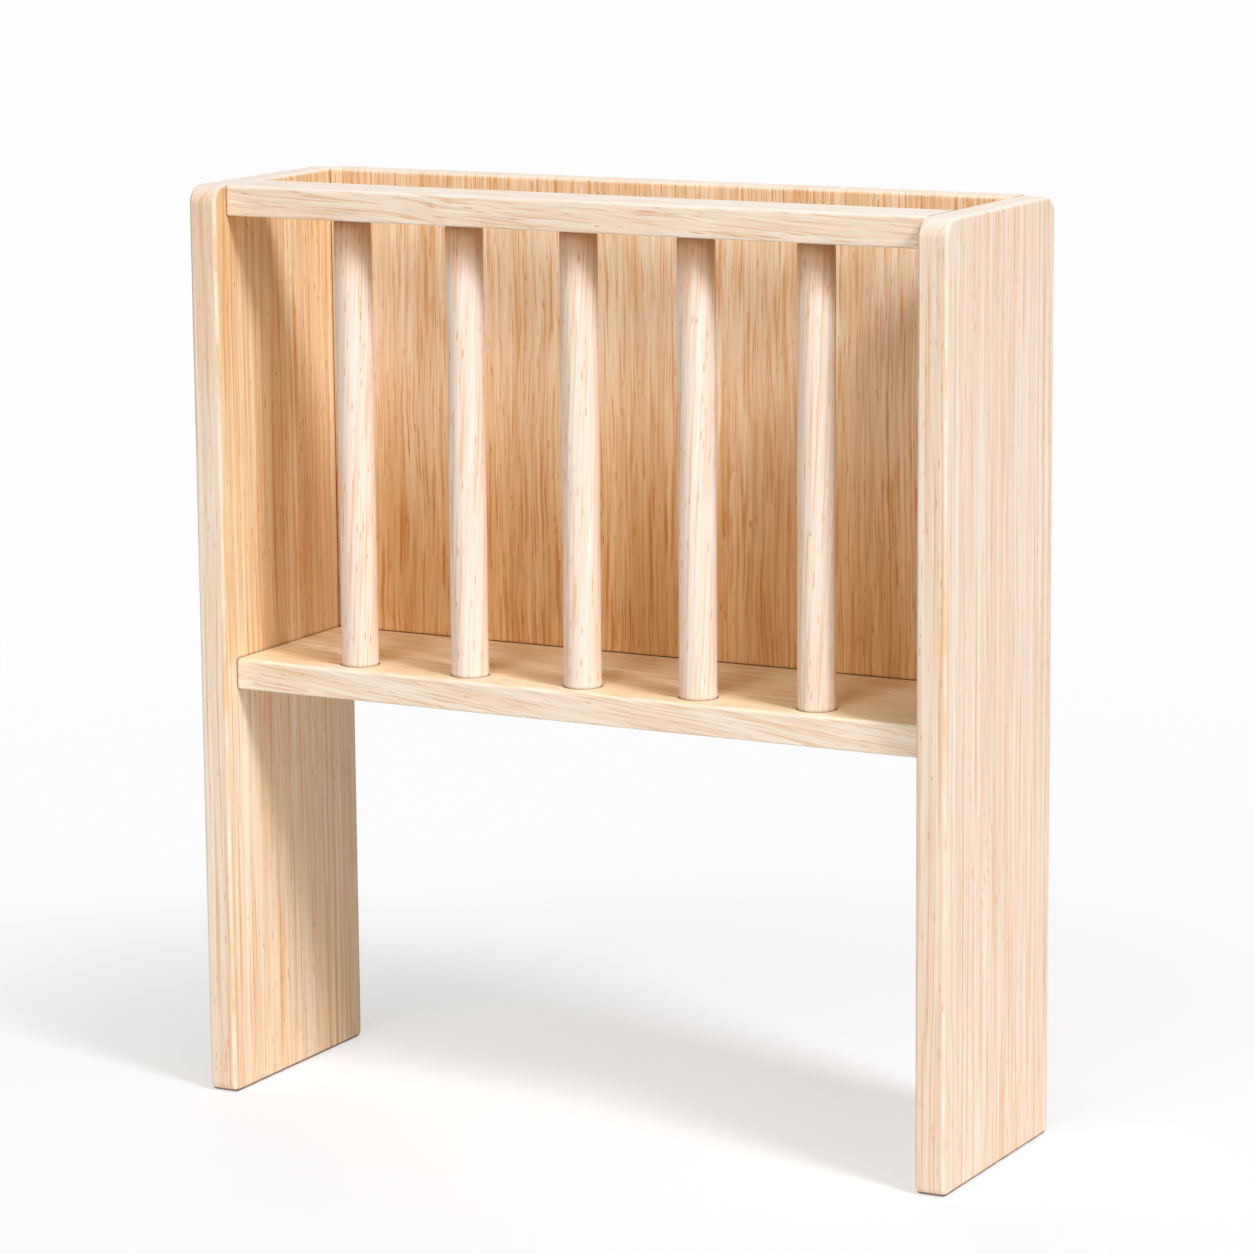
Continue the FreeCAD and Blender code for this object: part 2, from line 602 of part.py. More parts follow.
def make_cam_lock(fitting, side):
    """A drum in the board's face. The bolt's head lies in its channel, held by the rim."""
    board = boards[fitting["board"]]
    y, z = place_of(fitting)
    if fitting["board"] == "shelf_board":
        z = board["bottom"]
        bolt_depth = fitting["z"]
        rotation = driver_below.multiply(towards_panel_below[side])
    else:
        y = "Sizes.overall_depth"
        bolt_depth = fitting["y"]
        rotation = driver_behind.multiply(towards_panel_behind[side])
    body = new_body("%s_cam_lock_%s" % (board["prefix"], side),
                    from_panel(side, "Sizes.cam_setback"), y, z, rotation)
    radius = "Sizes.cam_diameter / 2"
    turn(body, [("0", radius + " - Sizes.cam_chamfer"),
                ("Sizes.cam_chamfer", radius),
                ("Sizes.cam_height", radius)])
    head_space = new_sketch(body, "head_channel", "XZ_Plane")
    add_rectangle(head_space, head_channel, "%s - %s" % (channel_radius, channel_core),
                  corner=("%s - %s / 2" % (bolt_depth, head_channel), channel_core))
    carve(body, head_space, "Sizes.cam_sweep")
    neck_space = new_sketch(body, "neck_slot", "XZ_Plane")
    add_rectangle(neck_space, neck_slot, "Sizes.cam_wall + 2 * Sizes.cam_clearance",
                  corner=("%s - %s / 2" % (bolt_depth, neck_slot),
                          channel_radius + " - Sizes.cam_clearance"))
    carve(body, neck_space, "Sizes.cam_sweep")
    entry = new_sketch(body, "head_entry", "XZ_Plane")
    add_circle(entry, bolt_depth, "0", head_channel)
    pocket(body, entry, radius, along_normal=False)
    cut_cross_recess(body, "Sizes.recess_span")


def make_screw(number):
    """A countersunk wood screw, driven up through the shelf into the back panel."""
    body = new_body("back_screw_%d" % (number + 1),
                    "-%s / 2 + %s + %d * Sizes.screw_spacing" % (inner_width, first_screw, number),
                    "%s + %s" % (back_front, back_middle),
                    shelf_bottom + " + Sizes.screw_head_sink", driver_below)
    shank = "Sizes.screw_diameter / 2"
    turn(body, [("0", "Sizes.screw_head_diameter / 2"),
                (screw_head_length, shank),
                ("Sizes.screw_length - Sizes.screw_tip_length", shank),
                ("Sizes.screw_length", "Sizes.screw_tip_diameter / 2")])
    cut_cross_recess(body, "Sizes.screw_recess_span")


# ---------------------------------------------------------------- the whole rack

for side in sides:
    make_side_panel(side)
make_shelf()
make_back()
make_rail()
for number in range(1, round(measure("Sizes.spindle_count")) + 1):
    make_spindle(number)
for fitting in fittings:
    for side in sides:
        if fitting["kind"] == "dowel":
            make_dowel(fitting, side, "Sizes.dowel_diameter")
        elif fitting["kind"] == "rail_dowel":
            make_dowel(fitting, side, "Sizes.rail_dowel_diameter")
        else:
            make_cam_bolt(fitting, side)
            make_cam_lock(fitting, side)
for number in range(round(measure("Sizes.screw_count"))):
    make_screw(number)

doc.recompute()

# ---------------------------------------------------------------- checks, then the files

for item in doc.Objects:
    if "Invalid" in item.State or "Error" in item.State:
        raise RuntimeError("%s could not be built: %s" % (item.Label, item.State))

bodies = doc.findObjects("PartDesign::Body")
for body in bodies:
    if body.Shape.isNull() or not body.Shape.isValid():
        raise RuntimeError(body.Label + " has no valid shape")
    if len(body.Shape.Solids) != 1:
        raise RuntimeError("%s has %d solids" % (body.Label, len(body.Shape.Solids)))
    for feature in body.Group:
        if feature.TypeId in ("PartDesign::Pocket", "PartDesign::Groove", "PartDesign::Hole"):
            if feature.Shape.Volume > feature.BaseFeature.Shape.Volume - smallest_cut:
                raise RuntimeError(feature.Label + " cuts nothing")

os.makedirs("parts", exist_ok=True)
for body in bodies:
    body.Shape.exportStep("parts/%s.step" % body.Label)
    print("%-24s %10.1f mm3" % (body.Label, body.Shape.Volume))
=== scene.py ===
import math

import bmesh
import bpy
from mathutils import Euler, Matrix, Vector, noise


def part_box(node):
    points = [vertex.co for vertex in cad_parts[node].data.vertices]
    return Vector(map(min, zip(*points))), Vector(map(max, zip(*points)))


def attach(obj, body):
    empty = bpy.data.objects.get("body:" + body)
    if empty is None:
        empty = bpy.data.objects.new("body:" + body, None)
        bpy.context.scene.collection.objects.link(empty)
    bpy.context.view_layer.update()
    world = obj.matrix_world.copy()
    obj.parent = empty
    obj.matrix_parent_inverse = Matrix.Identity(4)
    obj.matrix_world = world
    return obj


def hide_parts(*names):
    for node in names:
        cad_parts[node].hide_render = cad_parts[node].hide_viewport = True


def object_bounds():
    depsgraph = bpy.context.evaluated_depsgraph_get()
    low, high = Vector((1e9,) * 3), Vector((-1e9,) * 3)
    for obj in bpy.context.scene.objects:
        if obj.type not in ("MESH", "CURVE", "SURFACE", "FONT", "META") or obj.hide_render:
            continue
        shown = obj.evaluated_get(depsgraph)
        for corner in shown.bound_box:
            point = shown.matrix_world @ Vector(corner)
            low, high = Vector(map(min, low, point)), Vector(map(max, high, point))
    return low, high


# Magazine rack in pale solid wood. Metres, +X right, +Y rear, +Z up, origin on the floor.

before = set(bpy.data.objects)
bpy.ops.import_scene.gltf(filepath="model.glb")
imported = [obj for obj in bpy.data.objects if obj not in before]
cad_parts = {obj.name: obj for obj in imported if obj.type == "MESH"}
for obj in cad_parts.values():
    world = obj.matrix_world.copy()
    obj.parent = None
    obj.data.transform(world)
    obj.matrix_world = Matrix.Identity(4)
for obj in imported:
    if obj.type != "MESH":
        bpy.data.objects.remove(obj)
cadBox = [list(corner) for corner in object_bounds()]

mm = 0.001
tiny = 1e-6  # what counts as nothing, in metres
scene = bpy.context.scene


# small helpers for meshes and objects

def linkObject(name, data):
    item = bpy.data.objects.new(name, data)
    scene.collection.objects.link(item)
    return item


def dropObject(item):
    mesh = item.data
    bpy.data.objects.remove(item)
    bpy.data.meshes.remove(mesh)


def meshFromBmesh(name, work):
    mesh = bpy.data.meshes.new(name)
    work.to_mesh(mesh)
    work.free()
    return mesh


# the modifiers' result becomes the object's own plain mesh
def bakeModifiers(item):
    bpy.context.view_layer.update()
    graph = bpy.context.evaluated_depsgraph_get()
    result = bpy.data.meshes.new_from_object(
        item.evaluated_get(graph), preserve_all_data_layers=True, depsgraph=graph)
    item.modifiers.clear()
    old = item.data
    item.data = result
    bpy.data.meshes.remove(old)
    result.name = item.name


def boxOf(node):
    low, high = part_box(node)
    return Vector(low), Vector(high)


def nodesNamed(*starts):
    return sorted(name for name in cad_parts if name.startswith(starts))


# a closed solid turned about its own X axis, from (along, radius) stations
def turnedSolid(work, stations, placement, sides):
    rings = []
    for along, radius in stations:
        ring = []
        for step in range(sides):
            angle = 2 * math.pi * step / sides
            spot = Vector((along, radius * math.cos(angle), radius * math.sin(angle)))
            ring.append(work.verts.new(placement @ spot))
        rings.append(ring)
    work.faces.new(list(reversed(rings[0])))
    work.faces.new(rings[-1])
    for ring, following in zip(rings, rings[1:]):
        for step in range(sides):
            after = (step + 1) % sides
            work.faces.new((ring[step], ring[after], following[after], following[step]))


# helpers for materials and geometry nodes

def addNode(tree, kind, inputs=None, **settings):
    node = tree.nodes.new(kind)
    for name, value in settings.items():
        setattr(node, name, value)
    for socket, value in (inputs or {}).items():
        if isinstance(value, bpy.types.NodeSocket):
            tree.links.new(value, node.inputs[socket])
        else:
            node.inputs[socket].default_value = value
    return node


def nodeOut(tree, kind, inputs=None, **settings):
    return addNode(tree, kind, inputs, **settings).outputs[0]


def addSockets(tree, side, kind, *names):
    for name in names:
        tree.interface.new_socket(name, in_out=side, socket_type="NodeSocket" + kind)


def calc(tree, operation, *values):
    return nodeOut(tree, "ShaderNodeMath", dict(enumerate(values)), operation=operation)


def times(tree, first, second):
    return calc(tree, "MULTIPLY", first, second)


def vectorCalc(tree, operation, *values):
    node = addNode(tree, "ShaderNodeVectorMath", dict(enumerate(values)), operation=operation)
    return node.outputs["Value" if operation in ("LENGTH", "DOT_PRODUCT") else "Vector"]


def timesVector(tree, vector, by):
    return vectorCalc(tree, "MULTIPLY", vector, by)


def scaled(tree, vector, factor):
    return nodeOut(tree, "ShaderNodeVectorMath", {0: vector, "Scale": factor}, operation="SCALE")


def splitVector(tree, vector):
    return addNode(tree, "ShaderNodeSeparateXYZ", {"Vector": vector}).outputs


def makeVector(tree, x, y, z):
    return nodeOut(tree, "ShaderNodeCombineXYZ", {"X": x, "Y": y, "Z": z})


def fade(tree, value, start, end, low=0.0, high=1.0, smooth=True):
    node = addNode(tree, "ShaderNodeMapRange",
                   {"Value": value, "From Min": start, "From Max": end, "To Min": low, "To Max": high},
                   interpolation_type="SMOOTHSTEP" if smooth else "LINEAR")
    return node.outputs["Result"]


def blendColour(tree, factor, first, second, mode="MIX"):
    return addNode(tree, "ShaderNodeMix", {0: factor, 6: first, 7: second},
                   data_type="RGBA", blend_type=mode).outputs[2]


def timesColour(tree, colour, tone):
    return blendColour(tree, 1.0, colour, tone, "MULTIPLY")


def noiseAt(tree, vector, scale, detail=2.0, roughness=0.5, colour=False):
    node = addNode(tree, "ShaderNodeTexNoise",
                   {"Vector": vector, "Scale": scale, "Detail": detail, "Roughness": roughness},
                   noise_dimensions="3D")
    return node.outputs["Color" if colour else "Fac"]


def opaque(red, green, blue):
    return (red, green, blue, 1.0)


def newMaterial(name):
    material = bpy.data.materials.new(name)
    material.use_nodes = True
    material.node_tree.nodes.clear()
    return material, material.node_tree


# the last nodes of every finish: its relief as bump, its colour, its roughness and its gloss
def finishMaterial(tree, colour, rough, height, surface, gloss):
    bump = nodeOut(tree, "ShaderNodeBump", {"Height": height, "Strength": surface["bump"],
                                            "Distance": surface["bumpDepth"]})
    shader = addNode(tree, "ShaderNodeBsdfPrincipled",
                     {"Base Color": colour, "Roughness": rough, "Normal": bump, **gloss})
    addNode(tree, "ShaderNodeOutputMaterial", {"Surface": shader.outputs[0]})


# wood

# How far the growth rings stray: the reach in wander lengths, the size in wanders.
ringStrays = {
    "slow": {"stretch": (2.2, 2.2, 1.0), "reach": 1.0, "size": 1.0, "detail": 1.5},
    "ripple": {"stretch": (1.5, 1.5, 1.0), "reach": 0.22, "size": 0.1936, "detail": 1.0},
}

# Layers of the figure. Across is per stripe width and along per stripe length, the seed sets a
# layer apart, and begins and full are the noise values between which it comes in.
figureLayers = {
    "stripes": {"across": 1.0, "along": 1.0, "seed": 0.0, "detail": 4.0, "roughness": 0.68},
    "broad": {"across": 0.16, "along": 0.7, "seed": 3.0, "detail": 1.5, "begins": 0.40, "full": 0.66},
    "hue": {"across": 0.5, "along": 1.3, "seed": 8.0, "detail": 1.0, "begins": 0.44, "full": 0.64},
    "streaks": {"across": 2.3, "along": 2.2, "seed": 5.0, "detail": 2.0, "roughness": 0.6,
                "begins": 0.50, "full": 0.66},
    "bright": {"across": 1.7, "along": 1.8, "seed": 13.0, "detail": 1.5, "begins": 0.53, "full": 0.68},
    "late": {"across": 1.9, "along": 1.0, "seed": 11.0, "detail": 1.0},
    "broken": {"across": 1.1, "along": 4.0, "seed": 21.0, "detail": 2.0, "begins": 0.44, "full": 0.58},
}
lateLine = {"begins": 0.075, "full": 0.015}  # half width of a late line, in noise values
layerShare = {"hue": 0.6, "bright": 0.55, "endGrain": 0.35}

# Marks lie in cells drawn out along the grain. Size is in cells, and share says how many cells have one.
shortMarks = {
    "shortDash": {"across": 1.5 * mm, "along": 10.0 * mm, "size": 0.33, "share": 0.34, "seed": 0.13},
    "longDash": {"across": 2.1 * mm, "along": 34.0 * mm, "size": 0.22, "share": 0.34, "seed": 0.71},
    "fleck": {"across": 6.2 * mm, "along": 20.0 * mm, "size": 0.085, "share": 0.35, "seed": 0.37},
}
markCore = 0.45   # where a mark is full, as a share of its size
markLeast = 0.3   # strength of the faintest mark, and of a dash in pale wood
markFull = 0.8    # how deep a stripe is, from 0 to 1, where its dashes get their full strength

fibre = {"along": 0.03, "scale": 1500.0, "detail": 2.0, "roughness": 0.6,
         "start": 0.25, "end": 0.75, "dark": 0.92, "light": 1.06}

woodSurface = {
    "smoothest": 0.42, "roughest": 0.52, "poreRoughness": 0.25,
    "stripeHeight": -0.35, "fibreHeight": 0.45, "lineDepth": 0.3, "poreDepth": 0.9,
    "bump": 0.35, "bumpDepth": 0.12 * mm,
}
woodGloss = {"IOR": 1.47, "Specular IOR Level": 0.35}


# Solid wood: growth rings round a far pith, cut as stripes, thin late lines, dashes and flecks.
# The vector comes in metres with Z along the grain.
def makeWoodGroup():
    tree = bpy.data.node_groups.new("solidWood", "ShaderNodeTree")
    addSockets(tree, "INPUT", "Vector", "Vector", "Pith")
    addSockets(tree, "INPUT", "Float", "Stripe Width", "Stripe Length", "Wander", "Wander Length",
               "Softness", "Clouds", "Streaks", "Lines", "Dashes", "Flecks", "End Grain")
    addSockets(tree, "INPUT", "Color", "Pale", "Middle", "Deep", "Pink", "Line", "Dash", "Fleck")
    addSockets(tree, "OUTPUT", "Color", "Colour")
    addSockets(tree, "OUTPUT", "Float", "Roughness", "Height")
    given = addNode(tree, "NodeGroupInput").outputs
    vector = given["Vector"]

    # the rings' distance from the pith, wandering slowly and rippling a little
    moved = vectorCalc(tree, "SUBTRACT", vector, given["Pith"])
    for stray in ringStrays.values():
        rate = calc(tree, "DIVIDE", 1.0 / stray["reach"], given["Wander Length"])
        spread = noiseAt(tree, timesVector(tree, vector, stray["stretch"]), rate,
                         stray["detail"], colour=True)
        spread = vectorCalc(tree, "SUBTRACT", spread, (0.5, 0.5, 0.5))
        size = times(tree, given["Wander"], stray["size"])
        moved = vectorCalc(tree, "ADD", moved, scaled(tree, spread, size))
    ring = vectorCalc(tree, "LENGTH", timesVector(tree, moved, (1.0, 1.0, 0.0)))
    inStripes = calc(tree, "DIVIDE", ring, given["Stripe Width"])
    inLengths = calc(tree, "DIVIDE", splitVector(tree, vector)["Z"], given["Stripe Length"])

    def layer(name):
        spec = figureLayers[name]
        across = times(tree, inStripes, spec["across"])
        along = times(tree, inLengths, spec["along"])
        value = noiseAt(tree, makeVector(tree, across, spec["seed"], along), 1.0, spec["detail"],
                        spec.get("roughness", 0.5))
        return fade(tree, value, spec["begins"], spec["full"]) if "begins" in spec else value

    low = calc(tree, "SUBTRACT", 0.5, given["Softness"])
    high = calc(tree, "ADD", 0.5, given["Softness"])
    stripes = fade(tree, layer("stripes"), low, high, smooth=False)

    # late wood shows as thin lines that come and go
    ridge = calc(tree, "ABSOLUTE", calc(tree, "SUBTRACT", layer("late"), 0.5))
    lines = fade(tree, ridge, lateLine["begins"], lateLine["full"])
    lines = times(tree, lines, layer("broken"))
    fibres = noiseAt(tree, timesVector(tree, moved, (1.0, 1.0, fibre["along"])),
                     fibre["scale"], fibre["detail"], fibre["roughness"])

    def marks(name):
        spec = shortMarks[name]
        shifted = vectorCalc(tree, "ADD", moved, (spec["seed"],) * 3)
        cells = timesVector(tree, shifted, (1 / spec["across"], 1 / spec["across"], 1 / spec["along"]))
        voronoi = addNode(tree, "ShaderNodeTexVoronoi", {"Vector": cells, "Scale": 1.0},
                          voronoi_dimensions="3D", feature="F1").outputs
        drawn = addNode(tree, "ShaderNodeSeparateColor", {"Color": voronoi["Color"]}).outputs
        near = fade(tree, voronoi["Distance"], spec["size"], spec["size"] * markCore)
        picked = calc(tree, "LESS_THAN", drawn[0], spec["share"])
        strength = fade(tree, drawn[1], 0.0, 1.0, markLeast, 1.0, smooth=False)
        return times(tree, times(tree, near, picked), strength)

    dashes = calc(tree, "MAXIMUM", marks("shortDash"), marks("longDash"))
    dashes = times(tree, dashes, fade(tree, stripes, 0.0, markFull, markLeast, 1.0))
    flecks = marks("fleck")

    def laidOver(colour, value, amount, tone):
        return blendColour(tree, times(tree, value, amount), colour, given[tone])

    colour = blendColour(tree, stripes, given["Pale"], given["Middle"])
    colour = laidOver(colour, layer("hue"), layerShare["hue"], "Pink")
    colour = laidOver(colour, layer("broad"), given["Clouds"], "Deep")
    colour = laidOver(colour, layer("streaks"), given["Streaks"], "Deep")
    colour = laidOver(colour, layer("bright"), layerShare["bright"], "Pale")
    colour = laidOver(colour, lines, given["Lines"], "Line")
    shade = fade(tree, fibres, fibre["start"], fibre["end"], fibre["dark"], fibre["light"], smooth=False)
    colour = timesColour(tree, colour, makeVector(tree, shade, shade, shade))
    colour = laidOver(colour, dashes, given["Dashes"], "Dash")
    colour = laidOver(colour, flecks, given["Flecks"], "Fleck")
    colour = laidOver(colour, given["End Grain"], layerShare["endGrain"], "Pink")

    surface = woodSurface
    pores = calc(tree, "MAXIMUM", times(tree, dashes, given["Dashes"]), flecks)
    rough = calc(tree, "ADD", fade(tree, stripes, 0.0, 1.0, surface["smoothest"], surface["roughest"]),
                 times(tree, pores, surface["poreRoughness"]))
    height = calc(tree, "ADD", times(tree, stripes, surface["stripeHeight"]),
                  times(tree, fibres, surface["fibreHeight"]))
    height = calc(tree, "SUBTRACT", height, times(tree, lines, surface["lineDepth"]))
    height = calc(tree, "SUBTRACT", height, times(tree, pores, surface["poreDepth"]))
    addNode(tree, "NodeGroupOutput", {"Colour": colour, "Roughness": rough, "Height": height})
    return tree


woodGroup = makeWoodGroup()

alongZ = (0.0, 0.0, 0.0)
alongX = (0.0, -math.pi / 2, 0.0)
forwards = (0, -1, 0)
upwards = (0, 0, 1)
rightwards = (1, 0, 0)
leftwards = (-1, 0, 0)

# The values of each wood's figure feed the wood group, in metres and shares.
panelFigure = {
    "Stripe Width": 0.0028, "Stripe Length": 0.45, "Wander": 0.0035, "Wander Length": 0.20,
    "Softness": 0.10, "Clouds": 0.25, "Streaks": 0.50, "Lines": 0.75, "Dashes": 0.70, "Flecks": 0.65,
    "Pale": opaque(0.945, 0.87, 0.765), "Middle": opaque(0.87, 0.685, 0.535),
    "Deep": opaque(0.82, 0.57, 0.37), "Pink": opaque(0.89, 0.725, 0.60),
    "Line": opaque(0.80, 0.47, 0.22), "Dash": opaque(0.66, 0.33, 0.12), "Fleck": opaque(0.50, 0.23, 0.08),
}
narrowFigure = {
    **panelFigure,
    "Stripe Width": 0.0022, "Stripe Length": 0.13, "Wander": 0.0060, "Wander Length": 0.11,
    "Softness": 0.11, "Clouds": 0.20, "Streaks": 0.46, "Lines": 0.62, "Dashes": 0.85,
    "Pale": opaque(0.955, 0.875, 0.755), "Middle": opaque(0.89, 0.705, 0.54),
    "Deep": opaque(0.85, 0.57, 0.35), "Line": opaque(0.75, 0.41, 0.17),
}
# the back's wood is deeper and more orange than the panels' for the shade in the pocket: painted shade
shadedBackFigure = {
    **panelFigure,
    "Stripe Width": 0.0026, "Stripe Length": 0.17, "Wander": 0.0070, "Wander Length": 0.10,
    "Clouds": 0.42, "Streaks": 0.60, "Dashes": 0.75,
    "Pale": opaque(0.985, 0.855, 0.68), "Middle": opaque(0.92, 0.705, 0.48),
    "Deep": opaque(0.80, 0.51, 0.26), "Pink": opaque(0.92, 0.71, 0.51),
    "Line": opaque(0.72, 0.36, 0.10), "Dash": opaque(0.60, 0.27, 0.07),
}
spindleFigure = {
    **narrowFigure,
    "Stripe Length": 0.22, "Wander": 0.0018, "Clouds": 0.0, "Lines": 0.70, "Dashes": 1.0,
    "Pale": opaque(0.905, 0.825, 0.745), "Middle": opaque(0.875, 0.725, 0.61),
    "Deep": opaque(0.86, 0.61, 0.41), "Pink": opaque(0.87, 0.71, 0.61), "Line": opaque(0.80, 0.46, 0.21),
}

# Painted light and shade on faces, standing in for how the light falls on them: which way they look
# (none stands for every way), their tone, the figure's depth (above 1 deeper, below 1 paler) and the
# heights between which it comes in.
shelfTop = 218 * mm
belowShelfTop = shelfTop - 5 * mm
# inner faces of the side panels, above and below the shelf, painted deeper and darker: painted shade in
# the pocket and under the shelf
insideShade = {"tone": opaque(0.97, 0.965, 0.83), "depth": 1.50, "start": belowShelfTop, "end": shelfTop}
legInsideShade = {"tone": opaque(1.0, 0.995, 0.92), "depth": 1.25, "start": shelfTop, "end": belowShelfTop}
# tops painted paler: painted light
topLight = {"facing": upwards, "tone": opaque(1.0, 1.0, 1.0), "depth": 0.6}
# front faces of the side panels painted a little darker and warmer: painted shade
leftFrontShade = {"facing": forwards, "tone": opaque(0.99, 0.98, 0.97)}
rightFrontShade = {"facing": forwards, "tone": opaque(0.96, 0.935, 0.90)}
# the shelf's top and front painted paler: painted light
shelfUpperLight = {"facing": upwards, "tone": opaque(1.0, 0.99, 0.87), "depth": 0.90}
shelfFrontLight = {"facing": forwards, "tone": opaque(0.99, 1.0, 1.0), "depth": 0.86}
# the back's front face painted darker towards the bottom and just below its top, under the rail: painted
# shade
backLowerShade = {"facing": forwards, "tone": opaque(0.86, 0.72, 0.53), "depth": 1.25,
             "start": 400 * mm, "end": 250 * mm}
backTopShade = {"facing": forwards, "tone": opaque(0.95, 0.90, 0.87), "depth": 1.2,
             "start": 425 * mm, "end": 440 * mm}
# the spindles' tops painted with the rail's shadow
underRailShadow = {"tone": opaque(0.66, 0.45, 0.27), "start": 402 * mm, "end": 436 * mm}

# Grain turns and move shifts the pattern on each board, so that no two are alike.
woods = {
    "panelWoodLeft": {
        "figure": panelFigure, "grain": alongZ, "move": (0.0, 0.0, 0.0), "pith": (0.03, -0.30, 0.0),
        "paintedLight": ({**insideShade, "facing": rightwards}, {**legInsideShade, "facing": rightwards},
                 topLight, leftFrontShade)},
    "panelWoodRight": {
        "figure": panelFigure, "grain": alongZ, "move": (0.0, 0.0, 1.3), "pith": (0.42, -0.30, 0.0),
        "paintedLight": ({**insideShade, "facing": leftwards}, {**legInsideShade, "facing": leftwards},
                 topLight, rightFrontShade)},
    "shelfWood": {
        "figure": {**narrowFigure, "Clouds": 0.44, "Streaks": 0.64},
        "grain": (0.0, -math.pi / 2 - 0.10, 0.0), "move": (0.0, 0.0, 2.7), "pith": (-0.56, 0.27, 0.0),
        "paintedLight": (shelfUpperLight, shelfFrontLight)},
    "railWood": {
        "figure": narrowFigure, "grain": (0.0, -math.pi / 2 - 0.06, 0.0), "move": (0.0, 0.0, 4.1),
        "pith": (-0.62, 0.06, 0.0), "paintedLight": (topLight,)},
    "backWood": {
        "figure": shadedBackFigure, "grain": alongZ, "move": (0.0, 0.0, 5.9), "pith": (0.9, 0.25, 0.0),
        "paintedLight": (topLight, backLowerShade, backTopShade)},
    "spindleWood": {
        "figure": spindleFigure, "grain": alongZ, "move": (0.0, 0.0, 8.3), "pith": (1.7, 0.0, 0.0),
        "paintedLight": (underRailShadow,)},
    "dowelWood": {
        "figure": narrowFigure, "grain": alongX, "move": (0.0, 0.0, 9.1), "pith": (0.3, 0.4, 0.0),
        "paintedLight": ()},
}
barGrain = {"slant": -0.045, "jump": (0.13, 0.0, 0.61)}  # on each spindle, and from one to the next

# where a face starts to count as looking a given way, and where it counts in full
looking = {"facing": (0.25, 0.9), "endGrain": (0.55, 0.95), "upwards": (-0.998, -0.985)}

# the joints are darkened where they are closed in, part dust and glue and part painted shade, and the rims
# of the feet with a painted contact shadow, but not their undersides
jointDustAndShade = {"reach": 1.6 * mm, "samples": 3, "open": 0.80, "closed": 0.40, "tone": opaque(0.27, 0.14, 0.05)}
footContactShadow = {"start": 2.3 * mm, "end": 0.9 * mm, "tone": opaque(0.22, 0.12, 0.06)}

# hands wear the open arrises smoother, and they are painted paler in patches: part wear, part painted
# highlight
wearAndHighlight = {
    "reach": 1.7 * mm, "full": 0.25, "strength": 0.55, "smoother": 0.06, "tone": opaque(0.96, 0.90, 0.80),
    "stretch": (0.2, 0.2, 0.12), "patches": 420.0, "start": 0.38, "end": 0.62, "least": 0.25,
}


# edge wear and painted arris highlight on a board: 1 along its open arrises, 0 elsewhere, from its own box
def edgeMask(tree, place, node):
    low, high = boxOf(node)
    aside = 1.0  # puts a face that meets another piece out of reach
    joined = boards[node]["joined"]
    if "x" in joined:
        low.x -= aside
        high.x += aside
    if "foot" in joined:
        low.z -= aside
    below = vectorCalc(tree, "SUBTRACT", place, tuple(low))
    above = vectorCalc(tree, "SUBTRACT", tuple(high), place)
    gap = splitVector(tree, vectorCalc(tree, "MINIMUM", below, above))
    lesser = calc(tree, "MINIMUM", gap[0], gap[1])
    greater = calc(tree, "MAXIMUM", gap[0], gap[1])
    second = calc(tree, "MAXIMUM", lesser, calc(tree, "MINIMUM", greater, gap[2]))
    return fade(tree, second, wearAndHighlight["reach"], wearAndHighlight["reach"] * wearAndHighlight["full"])


# the grain of a turned bar, laid out flat round its own axis
def unrolled(tree, place):
    names = nodesNamed("spindle")
    low, high = boxOf(names[0])
    radius = (high.x - low.x) / 2
    step = (boxOf(names[-1])[0].x - low.x) / (len(names) - 1)
    bar = addNode(tree, "ShaderNodeAttribute", attribute_name="bar").outputs["Fac"]
    spot = splitVector(tree, place)
    sideways = calc(tree, "SUBTRACT", calc(tree, "MULTIPLY_ADD", bar, -step, spot["X"]), low.x + radius)
    forward = calc(tree, "SUBTRACT", low.y + radius, spot["Y"])
    angle = calc(tree, "ARCTAN2", sideways, forward)
    slant = times(tree, spot["Z"], barGrain["slant"])
    flat = makeVector(tree, calc(tree, "MULTIPLY_ADD", angle, radius, slant), 0.0, spot["Z"])
    return vectorCalc(tree, "ADD", flat, scaled(tree, barGrain["jump"], bar))


